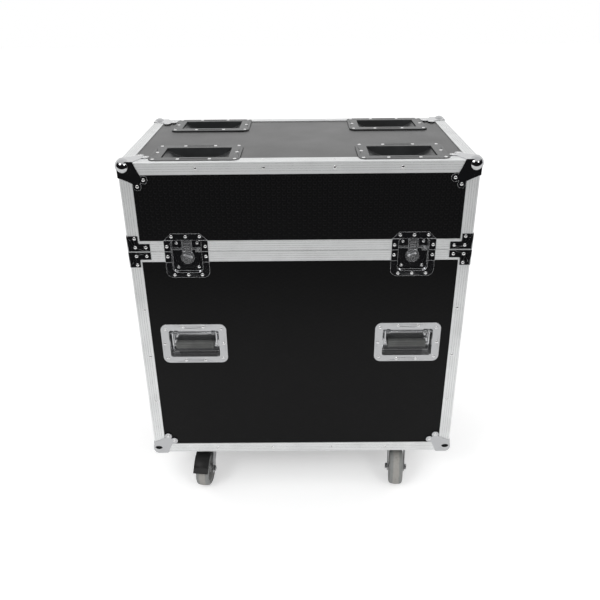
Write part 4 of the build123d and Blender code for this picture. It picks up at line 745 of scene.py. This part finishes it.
class CASE_OT_padding(bpy.types.Operator):
    """Lays foam on the floor and under the lid"""

    bl_idname = "flight_case.padding"
    bl_label = "Foam Padding"

    def execute(self, context):
        foam = foam_material(context.scene.case_finish)
        for name, node, body in (("floor_foam", "floor_pad", "base"), ("lid_foam", "lid_pad", "lid")):
            pad = foam_block(name, node, body, FOAM_VOXEL, FOAM_RIM)
            pad.data.materials.clear()
            pad.data.materials.append(foam)
        return {"FINISHED"}


class CASE_OT_stage(bpy.types.Operator):
    """Sets up the pale floor, the soft light and the camera"""

    bl_idname = "flight_case.stage"
    bl_label = "Stage"

    def execute(self, context):
        settings = context.scene.case_stage
        make_floor(settings)
        make_world(context.scene, settings)
        make_lamp("key_left", *LEFT_LAMP, settings.key_power)
        make_lamp("key_right", *RIGHT_LAMP, RIGHT_LAMP_SHARE * settings.key_power)
        make_camera(context.scene, settings)
        context.scene.view_settings.view_transform = "Standard"
        return {"FINISHED"}


def make_floor(settings):
    """A large flat floor; bright metal mirrors only the lit part of it near the case."""
    half = settings.floor_size / 2
    corners = [(-half, -half, 0), (half, -half, 0), (half, half, 0), (-half, half, 0)]
    mesh = bpy.data.meshes.new("floor")
    mesh.from_pydata(corners, [], [(0, 1, 2, 3)])
    floor = bpy.data.objects.new("floor", mesh)
    bpy.context.collection.objects.link(floor)
    material, tree, surface = new_material("floor", settings.floor_colour, roughness=0.9)
    surface.inputs["Specular IOR Level"].default_value = 0.0
    surface.inputs["Emission Color"].default_value = (1.0, 1.0, 1.0, 1.0)
    place = add_node(tree, "ShaderNodeSeparateXYZ", {0: object_place(tree)})
    ahead = calc(tree, "MULTIPLY", place.outputs[1], -1.0)
    fading_width, mirrored_share = 0.45, 0.5
    unlit = ramp(tree, ahead, settings.sweep_reach, settings.sweep_reach + fading_width)
    rays = add_node(tree, "ShaderNodeLightPath")
    mirrored_glow = calc(tree, "MULTIPLY", rays.outputs["Is Glossy Ray"], mirrored_share)
    seen = calc(tree, "MAXIMUM", rays.outputs["Is Camera Ray"], mirrored_glow)
    seen = calc(tree, "MAXIMUM", seen, rays.outputs["Is Transmission Ray"])
    feed(tree, surface.inputs["Emission Strength"], calc(tree, "MULTIPLY", seen, settings.floor_glow))
    mirrored = calc(tree, "MULTIPLY", unlit, rays.outputs["Is Glossy Ray"])
    dim = add_node(tree, "ShaderNodeEmission", {"Color": settings.room_colour, "Strength": 1.0})
    mix = add_node(tree, "ShaderNodeMixShader", {0: mirrored, 1: surface.outputs[0], 2: dim.outputs[0]})
    tree.links.new(mix.outputs[0], tree.nodes["Material Output"].inputs[0])
    mesh.materials.append(material)


def make_world(scene, settings):
    """Even light for dull surfaces, a white background, and a room for bright metal to mirror.

    The mirrored room is white behind the case and overhead, and dim in front.
    """
    world = bpy.data.worlds.new("soft_room")
    world.use_nodes = True
    tree = world.node_tree
    background = tree.nodes["Background"]
    way = add_node(tree, "ShaderNodeTexCoord").outputs["Generated"]
    parts = add_node(tree, "ShaderNodeSeparateXYZ", {0: way})
    overhead_strength = 0.85
    behind = ramp(tree, parts.outputs[1], -0.05, 0.30)
    overhead = calc(tree, "MULTIPLY", ramp(tree, parts.outputs[2], 0.45, 0.75), overhead_strength)
    lit = calc(tree, "MAXIMUM", behind, overhead)
    mirrored = blend_colour(tree, lit, settings.room_colour, (1.0, 1.0, 1.0))
    rays = add_node(tree, "ShaderNodeLightPath")
    even = (settings.world_light,) * 3
    colour = blend_colour(tree, rays.outputs["Is Glossy Ray"], even, mirrored)
    colour = blend_colour(tree, rays.outputs["Is Transmission Ray"], colour, (1.0, 1.0, 1.0))
    colour = blend_colour(tree, rays.outputs["Is Camera Ray"], colour, (1.0, 1.0, 1.0))
    tree.links.new(colour, background.inputs["Color"])
    scene.world = world


def make_lamp(name, place, size, power):
    """A square soft lamp that looks at the middle of the case."""
    lamp = bpy.data.lights.new(name, "AREA")
    lamp.shape = "SQUARE"
    lamp.size = size
    lamp.energy = power
    thing = bpy.data.objects.new(name, lamp)
    middle = (CAD_BOX[0] + CAD_BOX[1]) / 2
    thing.location = place
    thing.rotation_euler = (middle - Vector(place)).to_track_quat("-Z", "Y").to_euler()
    bpy.context.collection.objects.link(thing)


def make_camera(scene, settings):
    """A camera where the photograph was taken from, worked out from the case's own corners.

    Forward is level +Y turned down and aside; right and up follow from it and the roll.
    """
    camera = bpy.data.cameras.new("camera")
    camera.sensor_width = 36.0
    camera.lens = settings.focal_length
    thing = bpy.data.objects.new("camera", camera)
    bpy.context.collection.objects.link(thing)
    down, turn, roll = settings.camera_down, settings.camera_turn, settings.camera_roll
    forward = Vector((sin(turn) * cos(down), cos(turn) * cos(down), -sin(down)))
    right = Vector((cos(turn), -sin(turn), 0.0))
    below = forward.cross(right)
    rolled_right = cos(roll) * right + sin(roll) * below
    rolled_below = cos(roll) * below - sin(roll) * right
    case_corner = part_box("base_edge_angles")[0]
    place = Vector((CAMERA_ASIDE, case_corner.y - CAMERA_BACK, case_corner.z + CAMERA_UP))
    turned = Matrix((rolled_right, -rolled_below, -forward)).transposed().to_4x4()
    thing.matrix_world = Matrix.Translation(place) @ turned
    scene.camera = thing


class CASE_PT_sidebar(bpy.types.Panel):
    """Lists the case's finishes and its stage"""

    bl_idname = "CASE_PT_sidebar"
    bl_label = "Flight Case"
    bl_space_type = "VIEW_3D"
    bl_region_type = "UI"
    bl_category = "Flight Case"

    def draw(self, context):
        for operator in STEPS:
            self.layout.operator(operator.bl_idname)
        for settings in (context.scene.case_finish, context.scene.case_stage):
            for key in settings.__annotations__:
                self.layout.prop(settings, key)


STEPS = (
    CASE_OT_shared_groups,
    CASE_OT_panels,
    CASE_OT_extrusions,
    CASE_OT_hardware,
    CASE_OT_grips,
    CASE_OT_cups,
    CASE_OT_casters,
    CASE_OT_dividers,
    CASE_OT_padding,
    CASE_OT_stage,
)
CLASSES = (CaseFinishSettings, CaseStageSettings, *STEPS, CASE_PT_sidebar)


def register():
    """Makes the settings, the operators and the panel known."""
    for item in CLASSES:
        bpy.utils.register_class(item)
    bpy.types.Scene.case_finish = PointerProperty(type=CaseFinishSettings)
    bpy.types.Scene.case_stage = PointerProperty(type=CaseStageSettings)


def unregister():
    """Forgets the settings, the operators and the panel."""
    del bpy.types.Scene.case_stage
    del bpy.types.Scene.case_finish
    for item in reversed(CLASSES):
        bpy.utils.unregister_class(item)


def main():
    """Runs every step in order."""
    register()
    for operator in STEPS:
        group, name = operator.bl_idname.split(".")
        getattr(getattr(bpy.ops, group), name)()
    bpy.context.view_layer.update()


if __name__ == "__main__":
    main()
